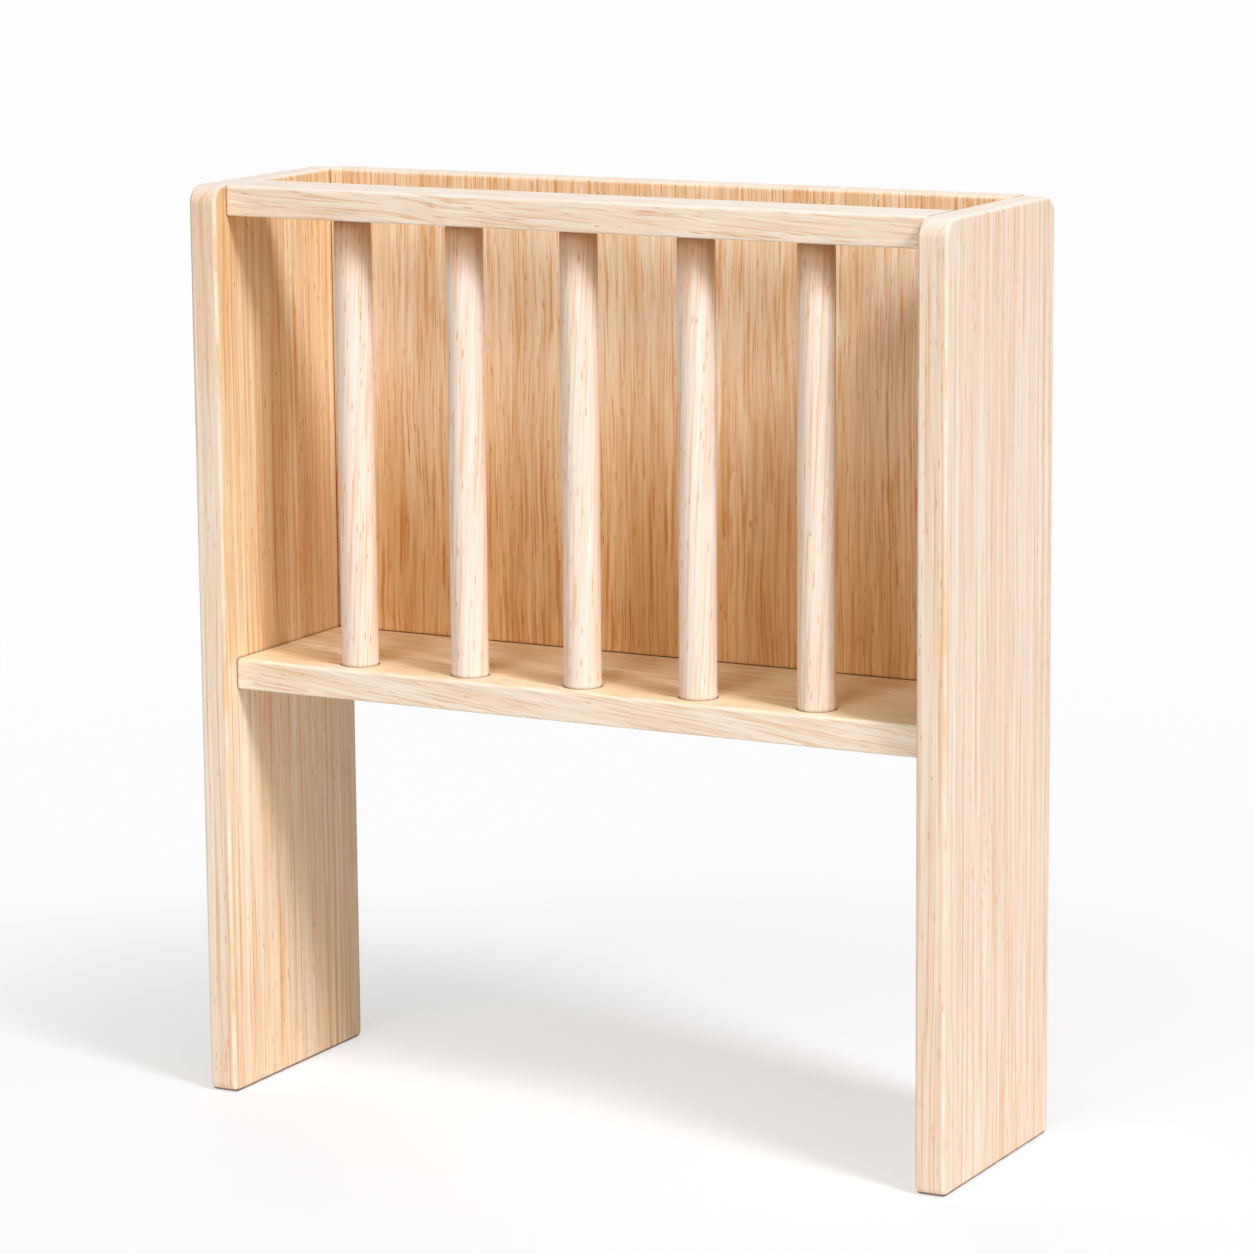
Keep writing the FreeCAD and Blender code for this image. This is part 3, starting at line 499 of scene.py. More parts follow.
def makeWood(name, node=None):
    spec = woods[name]
    material, tree = newMaterial(name)
    place = addNode(tree, "ShaderNodeTexCoord").outputs["Object"]
    start = unrolled(tree, place) if name == "spindleWood" else place
    turned = nodeOut(tree, "ShaderNodeMapping",
                     {"Vector": start, "Rotation": spec["grain"], "Location": spec["move"]})
    normal = addNode(tree, "ShaderNodeTexCoord").outputs["Normal"]
    facing = splitVector(tree, normal)
    endwards = calc(tree, "ABSOLUTE", facing["Z" if spec["grain"] == alongZ else "X"])
    endGrain = fade(tree, endwards, *looking["endGrain"])
    inputs = {"Vector": turned, "Pith": spec["pith"], "End Grain": endGrain, **spec["figure"]}
    wood = addNode(tree, "ShaderNodeGroup", inputs, node_tree=woodGroup).outputs
    colour = wood["Colour"]
    rough = wood["Roughness"]
    height = splitVector(tree, place)["Z"]
    # painted light and shade, face by face: tones that stand for how the light falls on each face
    for part in spec["paintedLight"]:
        share = 1.0
        if "facing" in part:
            towards = vectorCalc(tree, "DOT_PRODUCT", normal, part["facing"])
            share = fade(tree, towards, *looking["facing"])
        if "start" in part:
            share = times(tree, share, fade(tree, height, part["start"], part["end"]))
        paintedLight = colour
        if "depth" in part:
            paintedLight = nodeOut(tree, "ShaderNodeGamma", {"Color": colour, "Gamma": part["depth"]})
        colour = blendColour(tree, share, colour, timesColour(tree, paintedLight, part["tone"]))
    # joints darkened where the occlusion closes them in: part dust and glue, part painted shade
    openness = addNode(tree, "ShaderNodeAmbientOcclusion", {"Distance": jointDustAndShade["reach"]},
                       samples=jointDustAndShade["samples"]).outputs["AO"]
    crack = fade(tree, openness, jointDustAndShade["open"], jointDustAndShade["closed"])
    # worn arrises painted paler and smoother: part wear, part painted highlight
    if node:
        patches = noiseAt(tree, timesVector(tree, turned, wearAndHighlight["stretch"]), wearAndHighlight["patches"])
        patches = fade(tree, patches, wearAndHighlight["start"], wearAndHighlight["end"], wearAndHighlight["least"], 1.0)
        worn = times(tree, edgeMask(tree, place, node), patches)
        colour = blendColour(tree, times(tree, worn, wearAndHighlight["strength"]), colour, wearAndHighlight["tone"])
        rough = calc(tree, "SUBTRACT", rough, times(tree, worn, wearAndHighlight["smoother"]))
    # the feet's rims painted with a contact shadow and the joints with their shade, but not faces that
    # look down
    notBelow = fade(tree, facing["Z"], *looking["upwards"])
    rim = fade(tree, height, footContactShadow["start"], footContactShadow["end"])
    for share, tone in ((crack, jointDustAndShade["tone"]), (rim, footContactShadow["tone"])):
        share = times(tree, share, notBelow)
        colour = blendColour(tree, share, colour, timesColour(tree, colour, tone))
    finishMaterial(tree, colour, rough, wood["Height"], woodSurface, woodGloss)
    return material


# metal

metals = {
    "screwSteel": {"tone": opaque(0.78, 0.70, 0.48), "dark": opaque(0.62, 0.55, 0.38),
                   "roughness": 0.24, "brush": (1.0, 1.0, 0.1)},
    "boltSteel": {"tone": opaque(0.62, 0.62, 0.61), "dark": opaque(0.45, 0.45, 0.46),
                  "roughness": 0.28, "brush": (0.1, 1.0, 1.0)},
    "camZinc": {"tone": opaque(0.60, 0.61, 0.62), "dark": opaque(0.44, 0.45, 0.47),
                "roughness": 0.38, "brush": (1.0, 1.0, 1.0)},
}
metalSurface = {
    "clouds": 260.0, "cloudDetail": 4.0, "cloudRoughness": 0.65, "cloudFade": (0.35, 0.65),
    "cloudShare": 0.5,
    "scratches": 2400.0, "scratchFade": (0.3, 0.7), "scratchRoughness": 0.14,
    "pits": 5200.0, "pitFade": (0.62, 0.74), "pitRoughness": 0.15, "pitDepth": 0.8,
    "bump": 0.25, "bumpDepth": 0.06 * mm,
}


def makeMetal(name):
    spec = metals[name]
    surface = metalSurface
    material, tree = newMaterial(name)
    place = addNode(tree, "ShaderNodeTexCoord").outputs["Object"]
    cloud = noiseAt(tree, place, surface["clouds"], surface["cloudDetail"], surface["cloudRoughness"])
    cloud = fade(tree, cloud, *surface["cloudFade"])
    scratches = noiseAt(tree, timesVector(tree, place, spec["brush"]), surface["scratches"])
    colour = blendColour(tree, times(tree, cloud, surface["cloudShare"]), spec["tone"], spec["dark"])
    pits = fade(tree, noiseAt(tree, place, surface["pits"], 1.0), *surface["pitFade"])
    roughest = spec["roughness"] + surface["scratchRoughness"]
    rough = fade(tree, scratches, *surface["scratchFade"], spec["roughness"], roughest)
    rough = calc(tree, "ADD", rough, times(tree, pits, surface["pitRoughness"]))
    height = calc(tree, "SUBTRACT", scratches, times(tree, pits, surface["pitDepth"]))
    finishMaterial(tree, colour, rough, height, surface, {"Metallic": 1.0})
    return material


screwSteel = makeMetal("screwSteel")
boltSteel = makeMetal("boltSteel")
camZinc = makeMetal("camZinc")
dowelWood = makeWood("dowelWood")
print("materials made")


# boards

boardDetail = {
    "cut": 4.0 * mm,          # spacing of the cross cuts that carry the arris' unevenness
    "thin": 20.0 * mm,        # a board thinner than this has no cuts that way
    "corner": 1.2,            # edges sharper than this angle, in radians, get the arris
    "flat": 0.985,            # a normal this near to an axis lies on a face, not on an edge
    "unevenness": 0.04 * mm,  # how far a hand-eased arris strays inwards
    "waves": (90, 310),       # how fast it strays, per metre
    "mean": 0.45,             # added to the waves, so that most of the edge strays inwards
    "chip": 0.45 * mm,        # deepest ragged fibre at a foot
    "chipZone": 3.2 * mm,
    "chipWave": 700,
    "holeRim": 0.3 * mm,      # eased rim of a spindle's hole
    "sharp": 32,              # degrees past which an edge is shaded sharp
}

# Radii of the long edges above (top) and below (foot) and of the arris round both ends, each with
# its number of segments. Joined says which faces meet another piece: x both ends, foot the lower one.
sidePanel = {"slot": "panel_wood", "joined": "", "top": (9.0 * mm, 12), "foot": (4.0 * mm, 6),
             "arris": (1.8 * mm, 7)}
innerBoard = {"joined": "x", "top": (2.0 * mm, 6), "foot": (1.0 * mm, 6), "arris": (0.4 * mm, 2)}
boards = {
    "side_panel_left": {**sidePanel, "piece": "sidePanelLeft", "wood": "panelWoodLeft"},
    "side_panel_right": {**sidePanel, "piece": "sidePanelRight", "wood": "panelWoodRight"},
    "shelf_board": {**innerBoard, "piece": "shelfBoard", "wood": "shelfWood", "slot": "shelf_wood"},
    "back_panel": {**innerBoard, "piece": "backPanel", "wood": "backWood", "slot": "back_wood",
                   "joined": "x foot", "foot": (0.6 * mm, 6)},
    "front_rail": {**innerBoard, "piece": "frontRail", "wood": "railWood", "slot": "rail_wood"},
}


def alongXEdges(work, high):
    middle = sum(vert.co.z for vert in work.verts) / len(work.verts)
    chosen = []
    for edge in work.edges:
        step = edge.verts[1].co - edge.verts[0].co
        if abs(step.x) > tiny and abs(step.y) < tiny and abs(step.z) < tiny:
            if (edge.verts[0].co.z > middle) == high:
                chosen.append(edge)
    return chosen


def easeEdges(work, edges, easing):
    radius, segments = easing
    bmesh.ops.bevel(work, geom=edges, offset=radius, segments=segments, profile=0.5,
                    affect="EDGES", clamp_overlap=False)


def slab(low, high, spec):
    work = bmesh.new()
    bmesh.ops.create_cube(work, size=1.0)
    size = high - low
    for vert in work.verts:
        vert.co = Vector(low[k] + size[k] * (vert.co[k] + 0.5) for k in range(3))
    easeEdges(work, alongXEdges(work, True), spec["top"])
    easeEdges(work, alongXEdges(work, False), spec["foot"])
    ends = [edge for edge in work.edges
            if len(edge.link_faces) == 2 and edge.calc_face_angle() > boardDetail["corner"]]
    easeEdges(work, ends, spec["arris"])
    for axis in range(3):
        if size[axis] < boardDetail["thin"]:
            continue
        count = round(size[axis] / boardDetail["cut"])
        normal = Vector((0, 0, 0))
        normal[axis] = 1.0
        for index in range(1, count):
            place = low.copy()
            place[axis] += size[axis] * index / count
            everything = work.verts[:] + work.edges[:] + work.faces[:]
            bmesh.ops.bisect_plane(work, geom=everything, dist=tiny, plane_co=place, plane_no=normal)
    return work


# the eased edges stray a little, and the foot's fibres are ragged
def roughenArris(work, low):
    work.normal_update()
    slow, fast = boardDetail["waves"]
    onFloor = low.z < tiny
    moves = []
    for vert in work.verts:
        if max(abs(part) for part in vert.normal) > boardDetail["flat"]:
            continue
        wave = noise.noise(vert.co * slow) * 0.5 + noise.noise(vert.co * fast) * 0.5
        depth = boardDetail["unevenness"] * max(0.0, boardDetail["mean"] + wave)
        height = vert.co.z - low.z
        if onFloor and height < boardDetail["chipZone"]:
            ragged = max(0.0, noise.noise(vert.co * boardDetail["chipWave"]))
            depth += boardDetail["chip"] * ragged * (1 - height / boardDetail["chipZone"])
        moves.append((vert, vert.normal * depth))
    for vert, move in moves:
        vert.co -= move


# what is bored for each kind of fitting: the clearance round it, and what stays free at its end
fitClearance = {"dowel": 0.1 * mm, "spindle": 0.15 * mm, "cam_lock": 0.1 * mm, "screw": 0.1 * mm,
                "cam_bolt": 0.2 * mm}
boring = {"endGap": 0.5 * mm, "overrun": 1.0 * mm, "touching": 0.01 * mm, "sides": 48, "fineSides": 96}
boltThread = 6.0 * mm

screwSize = {"shank": 4.0 * mm, "core": 2.7 * mm, "pitch": 1.8 * mm, "tip": 4.0 * mm, "plain": 12.0 * mm,
             "edge": 0.1 * mm, "runOut": 0.4 * mm, "point": 0.3 * mm, "recessSpan": 4.0 * mm,
             "recessWidth": 1.0 * mm, "recessDepth": 1.6 * mm, "stations": 70, "sides": 28,
             "turnEach": 0.5}

# turns +X towards a signed axis
pointing = {
    "+x": Matrix.Identity(4),
    "-y": Matrix.Rotation(-math.pi / 2, 4, "Z"),
    "+z": Matrix.Rotation(-math.pi / 2, 4, "Y"),
    "-z": Matrix.Rotation(math.pi / 2, 4, "Y"),
}


def overlaps(first, second):
    gap = boring["touching"]
    return all(first[0][k] < second[1][k] - gap and second[0][k] < first[1][k] - gap for k in range(3))


def addBore(work, stations, mouth, way, sides):
    turnedSolid(work, stations, Matrix.Translation(mouth) @ pointing[way], sides)


# cutters in two sets, so that no two solids of one set overlap
def boreCutters(node):
    low, high = boxOf(node)
    lengthways, upright = bmesh.new(), bmesh.new()
    endGap = boring["endGap"]
    overrun = boring["overrun"]
    for name in nodesNamed("shelf_dowel", "back_dowel", "rail_dowel", "shelf_cam", "back_cam",
                           "back_screw", "spindle"):
        start, end = boxOf(name)
        if not overlaps((low, high), (start, end)):
            continue
        kind = next(word for word in fitClearance if word in name)
        clear = fitClearance[kind]
        size = end - start
        centre = (start + end) / 2
        if kind in ("dowel", "cam_bolt"):
            inThread = kind == "cam_bolt" and node.startswith("side")
            radius = (boltThread if inThread else size.y) / 2 + clear
            reach = size.x / 2 + endGap
            addBore(lengthways, [(-reach, radius), (reach, radius)], centre, "+x", boring["sides"])
        elif kind == "spindle":
            radius = size.x / 2 + clear
            rim = boardDetail["holeRim"]
            inRail = node == "front_rail"
            mouth = Vector((centre.x, centre.y, low.z if inRail else high.z))
            bottom = end.z + endGap if inRail else start.z - endGap
            stations = [(-overrun, radius + rim + overrun), (rim, radius), (abs(mouth.z - bottom), radius)]
            addBore(upright, stations, mouth, "+z" if inRail else "-z", boring["fineSides"])
        elif kind == "cam_lock":
            fromBelow = size.z < size.x - mm
            radius = size.x / 2 + clear
            depth = (size.z if fromBelow else size.y) + clear
            mouth = Vector((centre.x, centre.y, start.z))
            if not fromBelow:
                mouth = Vector((centre.x, end.y, centre.z))
            way = "+z" if fromBelow else "-y"
            addBore(upright, [(-overrun, radius), (depth, radius)], mouth, way, boring["fineSides"])
        else:
            shank = screwSize["shank"] / 2 + clear
            stations = [(-endGap, shank), (size.z + endGap, shank)]
            if node == "shelf_board":
                head = size.x / 2 + clear
                sink = start.z - low.z + overrun
                stations = [(-sink, head + sink), (head - shank, shank), (size.z, shank)]
            addBore(upright, stations, Vector((centre.x, centre.y, start.z)), "+z", boring["sides"])
    return lengthways, upright


def makeBoard(node):
    spec = boards[node]
    low, high = boxOf(node)
    work = slab(low, high, spec)
    roughenArris(work, low)
    bmesh.ops.recalc_face_normals(work, faces=work.faces[:])
    board = linkObject(spec["piece"], meshFromBmesh(spec["piece"], work))
    cutters = []
    for cutter in boreCutters(node):
        bmesh.ops.recalc_face_normals(cutter, faces=cutter.faces[:])
        tool = linkObject(spec["piece"] + "Cutter", meshFromBmesh("cutter", cutter))
        cutters.append(tool)
        if tool.data.vertices:
            bore = board.modifiers.new("bores", "BOOLEAN")
            bore.operation = "DIFFERENCE"
            bore.solver = "EXACT"
            bore.object = tool
    bakeModifiers(board)
    for tool in cutters:
        dropObject(tool)
    board.data.polygons.foreach_set("use_smooth", [True] * len(board.data.polygons))
    board.data.set_sharp_from_angle(angle=math.radians(boardDetail["sharp"]))
    even = board.modifiers.new("evenShading", "WEIGHTED_NORMAL")
    even.keep_sharp = True
    bakeModifiers(board)
    board.data.materials.clear()
    board.data.materials.append(makeWood(spec["wood"], node))
    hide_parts(node)
    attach(board, "root")
    print("board", spec["piece"], len(board.data.polygons), "faces")


for node in boards:
    makeBoard(node)


# turned pieces by geometry nodes: a profile is turned about X, threaded, and set out in a row

turning = {
    "threadFlank": 0.35,   # where the ridge of a thread rises, as a share of half its pitch
    "lumps": 60.0,         # how fast a turned bar strays, per metre
    "sharp": 34,           # degrees past which an edge is shaded sharp
    "usual": {"Count": 1, "Sides": 32, "Thread Pitch": mm, "Recess Span": 4.0 * mm, "Recess Width": mm},
}


def makeTurnedTree():
    tree = bpy.data.node_groups.new("turnedRow", "GeometryNodeTree")
    addSockets(tree, "INPUT", "Geometry", "Profile")
    addSockets(tree, "INPUT", "Vector", "First Place", "Step", "Lay", "Turn Each")
    addSockets(tree, "INPUT", "Int", "Count", "Sides", "Cuts")
    addSockets(tree, "INPUT", "Float", "Unevenness", "Thread Pitch", "Thread Height", "Thread Start",
               "Thread End", "Recess Span", "Recess Width", "Recess Depth")
    addSockets(tree, "INPUT", "Material", "Finish")
    addSockets(tree, "OUTPUT", "Geometry", "Geometry")
    for item in tree.interface.items_tree:
        if item.name in turning["usual"]:
            item.default_value = turning["usual"][item.name]
    given = addNode(tree, "NodeGroupInput").outputs

    # the profile's points, one row of the grid for each
    curve = nodeOut(tree, "GeometryNodeMeshToCurve", {"Mesh": given["Profile"]})
    curve = nodeOut(tree, "GeometryNodeSubdivideCurve", {"Curve": curve, "Cuts": given["Cuts"]})
    count = addNode(tree, "GeometryNodeAttributeDomainSize", {"Geometry": curve},
                    component="CURVE").outputs["Point Count"]
    around = calc(tree, "ADD", given["Sides"], 1)
    grid = nodeOut(tree, "GeometryNodeMeshGrid", {"Vertices X": count, "Vertices Y": around})
    index = nodeOut(tree, "GeometryNodeInputIndex")
    row = calc(tree, "FLOOR", calc(tree, "DIVIDE", calc(tree, "ADD", index, 0.5), around))
    column = calc(tree, "SUBTRACT", index, times(tree, row, around))
    position = nodeOut(tree, "GeometryNodeInputPosition")
    point = nodeOut(tree, "GeometryNodeSampleIndex", {"Geometry": curve, "Value": position, "Index": row},
                    data_type="FLOAT_VECTOR", domain="POINT")
    station = splitVector(tree, point)
    along = station["X"]
    turn = calc(tree, "DIVIDE", column, given["Sides"])

    # a ridge that climbs once round for each pitch
    phase = calc(tree, "SUBTRACT", calc(tree, "DIVIDE", along, given["Thread Pitch"]), turn)
    phase = calc(tree, "FRACT", phase)
    peak = calc(tree, "ABSOLUTE", calc(tree, "MULTIPLY_ADD", phase, 2.0, -1.0))
    ridge = fade(tree, calc(tree, "SUBTRACT", 1.0, peak), turning["threadFlank"], 1.0, smooth=False)
    begins = fade(tree, along, given["Thread Start"],
                  calc(tree, "ADD", given["Thread Start"], given["Thread Pitch"]))
    ends = fade(tree, along, given["Thread End"],
                calc(tree, "SUBTRACT", given["Thread End"], given["Thread Pitch"]))
    thread = times(tree, times(tree, ridge, given["Thread Height"]), times(tree, begins, ends))
    solid = calc(tree, "GREATER_THAN", station["Z"], tiny)
    radius = calc(tree, "MULTIPLY_ADD", thread, solid, station["Z"])
    angle = times(tree, turn, -2 * math.pi)
    shaped = makeVector(tree, along, times(tree, radius, calc(tree, "COSINE", angle)),
                        times(tree, radius, calc(tree, "SINE", angle)))
    skin = nodeOut(tree, "GeometryNodeSetPosition", {"Geometry": grid, "Position": shaped})
    skin = nodeOut(tree, "GeometryNodeMergeByDistance", {"Geometry": skin, "Distance": tiny})

    # a driver's cross recess in the end face
    cutter = addNode(tree, "GeometryNodeMeshBoolean", {"Mesh 1": skin},
                     operation="DIFFERENCE", solver="EXACT")
    deep = times(tree, given["Recess Depth"], 2.0)
    for tall, wide in (("Recess Span", "Recess Width"), ("Recess Width", "Recess Span")):
        size = makeVector(tree, deep, given[wide], given[tall])
        bar = nodeOut(tree, "GeometryNodeMeshCube", {"Size": size})
        tree.links.new(bar, cutter.inputs["Mesh 2"])
    hasRecess = nodeOut(tree, "FunctionNodeCompare", {0: given["Recess Depth"], 1: tiny},
                        operation="GREATER_THAN")
    recessed = nodeOut(tree, "GeometryNodeSwitch",
                       {"Switch": hasRecess, "False": skin, "True": cutter.outputs[0]},
                       input_type="GEOMETRY")

    # the row of places, each piece laid down and turned on from the one before
    line = nodeOut(tree, "GeometryNodeMeshLine",
                   {"Count": given["Count"], "Start Location": given["First Place"],
                    "Offset": given["Step"]}, mode="OFFSET")
    lay = nodeOut(tree, "FunctionNodeEulerToRotation", {"Euler": given["Lay"]})
    turns = scaled(tree, given["Turn Each"], index)
    turns = nodeOut(tree, "FunctionNodeEulerToRotation", {"Euler": turns})
    rotation = nodeOut(tree, "FunctionNodeRotateRotation", {"Rotation": lay, "Rotate By": turns},
                       rotation_space="GLOBAL")
    placed = nodeOut(tree, "GeometryNodeInstanceOnPoints",
                     {"Points": line, "Instance": recessed, "Rotation": rotation})
    numbered = nodeOut(tree, "GeometryNodeStoreNamedAttribute",
                       {"Geometry": placed, "Name": "bar", "Value": index},
                       data_type="FLOAT", domain="INSTANCE")
    realised = nodeOut(tree, "GeometryNodeRealizeInstances", {"Geometry": numbered})

    # hands leave a turned bar slightly uneven
    lumps = noiseAt(tree, position, turning["lumps"], 1.0)
    inwards = times(tree, times(tree, lumps, given["Unevenness"]), -1.0)
    normal = nodeOut(tree, "GeometryNodeInputNormal")
    push = scaled(tree, normal, inwards)
    worn = nodeOut(tree, "GeometryNodeSetPosition", {"Geometry": realised, "Offset": push})
    corner = addNode(tree, "GeometryNodeInputMeshEdgeAngle").outputs["Unsigned Angle"]
    smooth = nodeOut(tree, "GeometryNodeSetShadeSmooth", {"Geometry": worn, "Shade Smooth": True},
                     domain="FACE")
    crisp = nodeOut(tree, "FunctionNodeCompare", {0: corner, 1: math.radians(turning["sharp"])},
                    operation="LESS_THAN")
    shaded = nodeOut(tree, "GeometryNodeSetShadeSmooth", {"Geometry": smooth, "Shade Smooth": crisp},
                     domain="EDGE")
    finished = nodeOut(tree, "GeometryNodeSetMaterial",
                       {"Geometry": shaded, "Material": given["Finish"]})
    addNode(tree, "NodeGroupOutput", {"Geometry": finished})
    return tree


turnedTree = makeTurnedTree()


def makeTurnedRow(piece, profile, settings, nodes):
    points = [(along, 0.0, radius) for along, radius in profile]
    mesh = bpy.data.meshes.new(piece)
    mesh.from_pydata(points, [(k, k + 1) for k in range(len(points) - 1)], [])
    row = linkObject(piece, mesh)
    lathe = row.modifiers.new("turnedRow", "NODES")
    lathe.node_group = turnedTree
    for item in turnedTree.interface.items_tree:
        if item.in_out == "INPUT" and item.name in settings:
            lathe[item.identifier] = settings[item.name]
    bakeModifiers(row)
    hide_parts(*nodes)
    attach(row, "root")
    print("turned", piece, len(row.data.polygons), "faces")


# upright pieces in a row along X: their radius and length, and where the row starts and steps
def uprightRow(names):
    low, high = boxOf(names[0])
    radius = (high.x - low.x) / 2
    step = (boxOf(names[-1])[0].x - low.x) / (len(names) - 1)
    settings = {
        "Count": len(names),
        "First Place": (low.x + radius, low.y + radius, low.z),
        "Step": (step, 0.0, 0.0),
        "Lay": (0.0, -math.pi / 2, 0.0),
    }
    return radius, high.z - low.z, settings


# stations of one radius, spread evenly from start to end, both left out
def between(start, end, count, radius):
    return [(start + (end - start) * step / count, radius) for step in range(1, count)]


spindleSize = {"chamfer": 0.8 * mm, "sides": 72, "stations": 24, "cuts": 3, "unevenness": 0.10 * mm,
               "turnEach": 1.9}


def makeSpindles():
    names = nodesNamed("spindle")
    radius, length, settings = uprightRow(names)
    edge = spindleSize["chamfer"]
    profile = [(0.0, 0.0), (0.0, radius - edge), (edge, radius)]
    profile += between(edge, length - edge, spindleSize["stations"], radius)
    profile += [(length - edge, radius), (length, radius - edge), (length, 0.0)]
    settings.update({
        "Turn Each": (0.0, 0.0, spindleSize["turnEach"]),
        "Sides": spindleSize["sides"],
        "Cuts": spindleSize["cuts"],
        "Unevenness": spindleSize["unevenness"],
        "Finish": makeWood("spindleWood"),
    })
    makeTurnedRow("spindles", profile, settings, names)


def makeScrews():
    names = nodesNamed("back_screw")
    head, length, settings = uprightRow(names)
    core = screwSize["core"] / 2
    shank = screwSize["shank"] / 2
    edge = screwSize["edge"]
    threadStart = screwSize["plain"] + screwSize["runOut"]
    threadEnd = length - screwSize["tip"] + screwSize["runOut"]
    profile = [(0.0, 0.0), (0.0, head - edge), (edge, head), (head - shank, shank),
               (screwSize["plain"], shank), (threadStart, core)]
    profile += between(threadStart, threadEnd, screwSize["stations"], core)
    profile += [(threadEnd + edge, core), (length - screwSize["runOut"], screwSize["point"]),
                (length, 0.0)]
    settings.update({
        "Turn Each": (0.0, 0.0, screwSize["turnEach"]),
        "Sides": screwSize["sides"],
        "Cuts": 1,
        "Thread Pitch": screwSize["pitch"],
        "Thread Height": shank - core,
        "Thread Start": screwSize["plain"],
        "Thread End": length - mm,
        "Recess Span": screwSize["recessSpan"],
        "Recess Width": screwSize["recessWidth"],
        "Recess Depth": screwSize["recessDepth"],
        "Finish": screwSteel,
    })
    makeTurnedRow("backScrews", profile, settings, names)


boltSize = {"thread": 10.0 * mm, "threadCore": 4.6 * mm, "pitch": 1.75 * mm, "tip": 1.0 * mm,
            "tipTaper": 0.6 * mm, "collar": 1.5 * mm, "collarEdge": 0.15 * mm, "shank": 5.0 * mm,
            "neck": 3.5 * mm, "neckEdge": 0.3 * mm, "neckShows": 1.5 * mm, "head": 5.5 * mm,
            "headLength": 3.0 * mm, "headTaper": 1.0 * mm, "headEdge": 0.2 * mm,
            "camRadius": 7.5 * mm, "camSetback": 24.0 * mm, "runIn": 0.4 * mm, "runOut": 0.2 * mm,
            "stations": 30, "sides": 32}


def makeCamBolts(piece, names):
    low, high = boxOf(names[0])
    collar = (high.y - low.y) / 2
    length = high.x - low.x
    core = boltSize["threadCore"] / 2
    tip = boltSize["tip"]
    face = boltSize["thread"]
    collarEnd = face + boltSize["collar"]
    collarEdge = boltSize["collarEdge"]
    shank = boltSize["shank"] / 2
    neck = boltSize["neck"] / 2
    neckEdge = boltSize["neckEdge"]
    neckStart = face + boltSize["camSetback"] - boltSize["camRadius"] - boltSize["neckShows"]
    head = boltSize["head"] / 2
    headStart = length - boltSize["headLength"]
    headEdge = boltSize["headEdge"]
    profile = [(0.0, 0.0), (0.0, core - boltSize["tipTaper"]), (tip, core)]
    profile += between(tip, face, boltSize["stations"], core)
    profile += [(face, core), (face, collar - collarEdge), (face + collarEdge, collar),
                (collarEnd - collarEdge, collar), (collarEnd, collar - collarEdge), (collarEnd, shank),
                (neckStart - neckEdge, shank), (neckStart, shank - neckEdge), (neckStart, neck),
                (headStart, neck), (headStart + boltSize["headTaper"], head),
                (length - headEdge, head), (length, head - headEdge), (length, 0.0)]
    settings = {
        "Count": len(names),
        "First Place": (low.x, low.y + collar, low.z + collar),
        "Step": (boxOf(names[1])[1].x - low.x, 0.0, 0.0),
        "Turn Each": (0.0, 0.0, math.pi),
        "Sides": boltSize["sides"],
        "Cuts": 1,
        "Thread Pitch": boltSize["pitch"],
        "Thread Height": boltThread / 2 - core,
        "Thread Start": boltSize["runIn"],
        "Thread End": face - boltSize["runOut"],
        "Finish": boltSteel,
    }
    makeTurnedRow(piece, profile, settings, names)


makeSpindles()
makeScrews()
makeCamBolts("shelfCamBolts", nodesNamed("shelf_cam_bolt"))
makeCamBolts("backCamBolts", nodesNamed("back_cam_bolt"))

# the dowels and cam locks are the frame's own, with finishes of their own
for name in nodesNamed("shelf_dowel", "back_dowel", "rail_dowel", "shelf_cam_lock", "back_cam_lock"):
    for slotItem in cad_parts[name].material_slots:
        slotItem.material = dowelWood if "dowel" in name else camZinc
print("fittings finished")


# floor, lights and camera

studio = {
    "white": 0.988,
    "floorReach": 1.5,
    "rimStart": 0.6,       # where the floor's rim starts to fade, as a share of its reach
    "rimEnd": 0.98,
    "shadowNear": 0.46,    # how much of the floor's tone takes shadow, near the rack
    "shadowFar": 0.03,
    "nearReach": 0.10,
    "farReach": 0.62,
    "floorLight": 1.025,   # what reaches the open floor
    "floorGlow": opaque(0.996, 0.998, 1.0),
    "floorOther": opaque(0.86, 0.82, 0.77),
    "ambient": 0.06,
    "ambientTint": opaque(1.0, 0.80, 0.50),
    "lampDistance": 6.0,
}

lamps = {
    "key": {"towards": (1.0, -0.37, 0.97), "size": 1.3, "level": 0.71, "tint": (0.975, 1.0, 1.09)},
    "keyHalo": {"towards": (0.92, -0.60, 0.95), "size": 3.0, "level": 0.22, "tint": (1.0, 0.88, 0.70)},
    "front": {"towards": (0.06, -1.0, 0.60), "size": 3.2, "level": 0.42, "tint": (1.0, 1.0, 1.0)},
    "rear": {"towards": (-0.75, 1.0, 0.30), "size": 3.5, "level": 0.36, "tint": (1.0, 0.97, 0.93)},
}

view = {"lens": 137.8, "place": (1.0783, -1.9886, 0.6658), "yaw": 28.354, "pitch": 10.650, "roll": -0.476,
        "sensor": 36.0, "nearest": 0.01, "farthest": 50.0}


def seenRay(tree):
    path = addNode(tree, "ShaderNodeLightPath").outputs
    seen = calc(tree, "MAXIMUM", path["Is Camera Ray"], path["Is Glossy Ray"])
    return calc(tree, "MAXIMUM", seen, path["Is Transmission Ray"])


def makeWorld():
    world = bpy.data.worlds.new("paleStudio")
    world.use_nodes = True
    tree = world.node_tree
    tree.nodes.clear()
    lit = nodeOut(tree, "ShaderNodeBackground",
                  {"Color": studio["ambientTint"], "Strength": studio["ambient"]})
    seen = nodeOut(tree, "ShaderNodeBackground",
                   {"Color": opaque(1, 1, 1), "Strength": studio["white"]})
    both = nodeOut(tree, "ShaderNodeMixShader", {0: seenRay(tree), 1: lit, 2: seen})
    addNode(tree, "ShaderNodeOutputWorld", {"Surface": both})
    scene.world = world


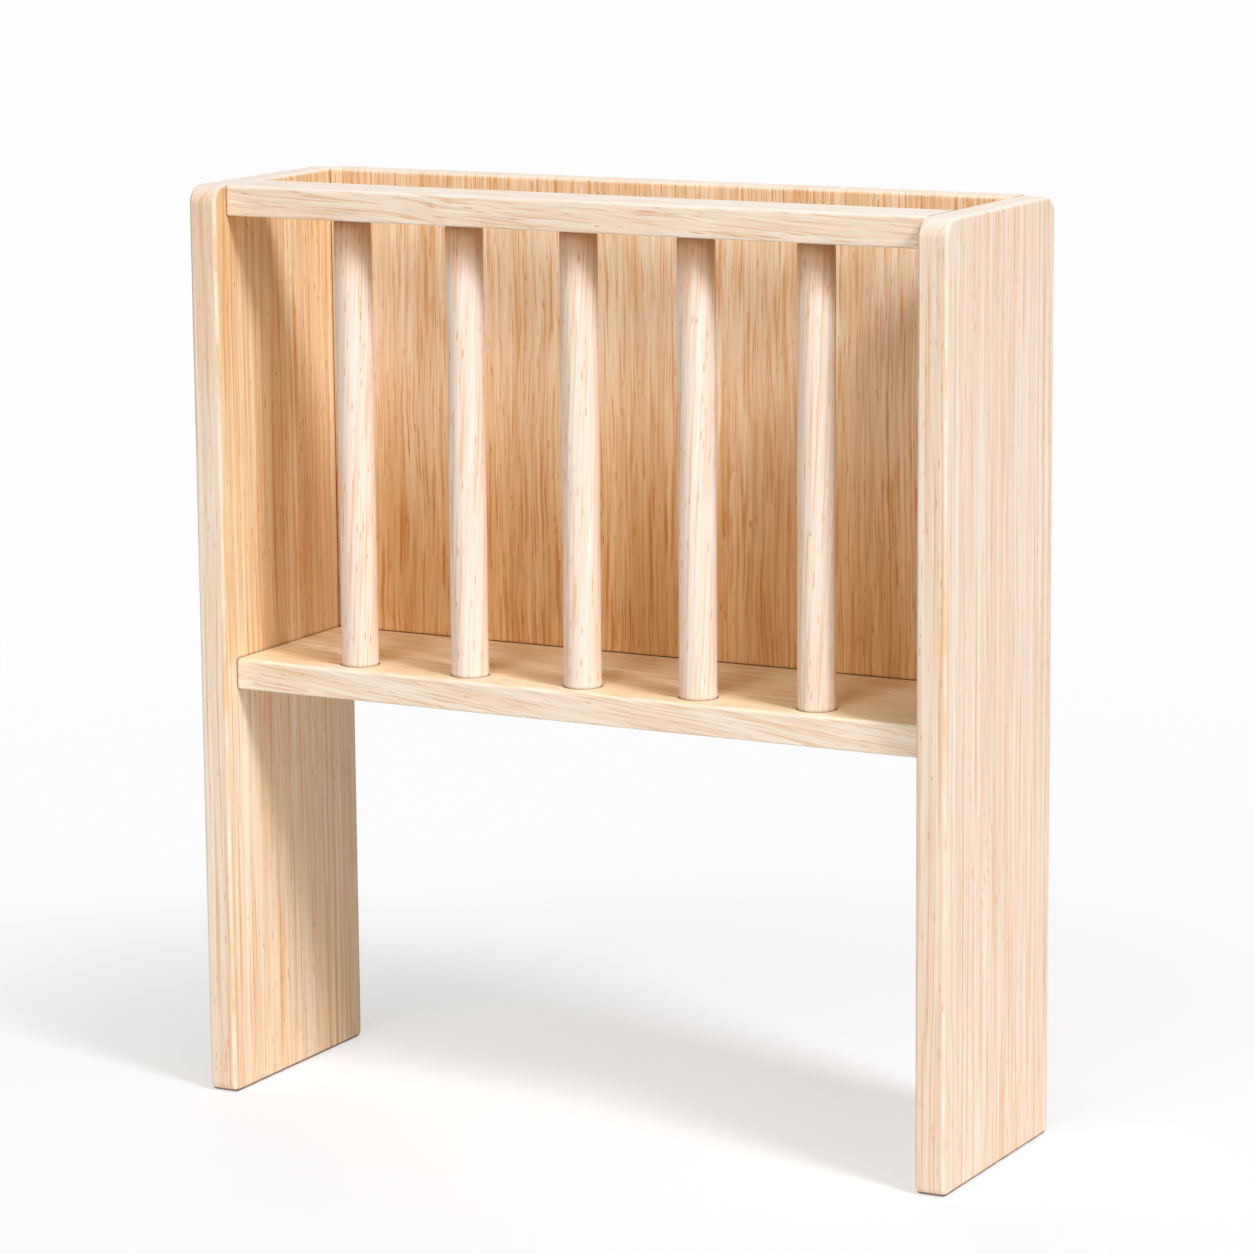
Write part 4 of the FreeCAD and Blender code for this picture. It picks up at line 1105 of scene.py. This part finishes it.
# a pale floor that glows a little where it is seen, so that only the shadow shows against the white
def makeFloor():
    work = bmesh.new()
    bmesh.ops.create_circle(work, cap_ends=True, segments=64, radius=studio["floorReach"])
    floor = linkObject("floor", meshFromBmesh("floor", work))
    material, tree = newMaterial("paleFloor")
    seen = seenRay(tree)
    place = addNode(tree, "ShaderNodeTexCoord").outputs["Object"]
    away = vectorCalc(tree, "LENGTH", place)
    tone = fade(tree, away, studio["nearReach"], studio["farReach"],
                studio["shadowNear"], studio["shadowFar"])
    colour = blendColour(tree, seen, studio["floorOther"], tone)
    matt = nodeOut(tree, "ShaderNodeBsdfDiffuse", {"Color": colour})
    rest = calc(tree, "MULTIPLY_ADD", tone, -studio["floorLight"], studio["white"])
    glow = nodeOut(tree, "ShaderNodeEmission", {"Color": studio["floorGlow"],
                                                "Strength": times(tree, seen, rest)})
    surface = nodeOut(tree, "ShaderNodeAddShader", {0: matt, 1: glow})
    clear = nodeOut(tree, "ShaderNodeBsdfTransparent")
    reach = studio["floorReach"]
    rim = fade(tree, away, reach * studio["rimStart"], reach * studio["rimEnd"])
    below = addNode(tree, "ShaderNodeNewGeometry").outputs["Backfacing"]
    through = calc(tree, "MAXIMUM", times(tree, rim, seen), below)
    both = nodeOut(tree, "ShaderNodeMixShader", {0: through, 1: surface, 2: clear})
    addNode(tree, "ShaderNodeOutputMaterial", {"Surface": both})
    floor.data.materials.append(material)


def addLamp(name):
    spec = lamps[name]
    distance = studio["lampDistance"]
    towards = Vector(spec["towards"]).normalized()
    lamp = bpy.data.lights.new(name, "AREA")
    lamp.shape = "DISK"
    lamp.size = spec["size"]
    lamp.color = spec["tint"]
    lamp.energy = spec["level"] * math.pi ** 2 * distance ** 2
    holder = linkObject(name, lamp)
    middle = Vector((0.0, 0.0, (cadBox[0][2] + cadBox[1][2]) / 2))
    holder.location = middle + towards * distance
    holder.rotation_euler = towards.to_track_quat("Z", "Y").to_euler()
    holder.visible_camera = False
    holder.visible_glossy = name != "rear"


def addCamera():
    data = bpy.data.cameras.new("camera")
    data.lens = view["lens"]
    data.sensor_width = view["sensor"]
    data.clip_start = view["nearest"]
    data.clip_end = view["farthest"]
    camera = linkObject("camera", data)
    camera.location = view["place"]
    turn = Euler((math.radians(90 - view["pitch"]), 0.0, math.radians(view["yaw"])), "XYZ").to_matrix()
    roll = Matrix.Rotation(math.radians(view["roll"]), 3, "Z")
    camera.rotation_euler = (turn @ roll).to_euler()
    scene.camera = camera


makeWorld()
makeFloor()
for lampName in lamps:
    addLamp(lampName)
addCamera()
scene.view_settings.view_transform = "Standard"
print("studio ready")
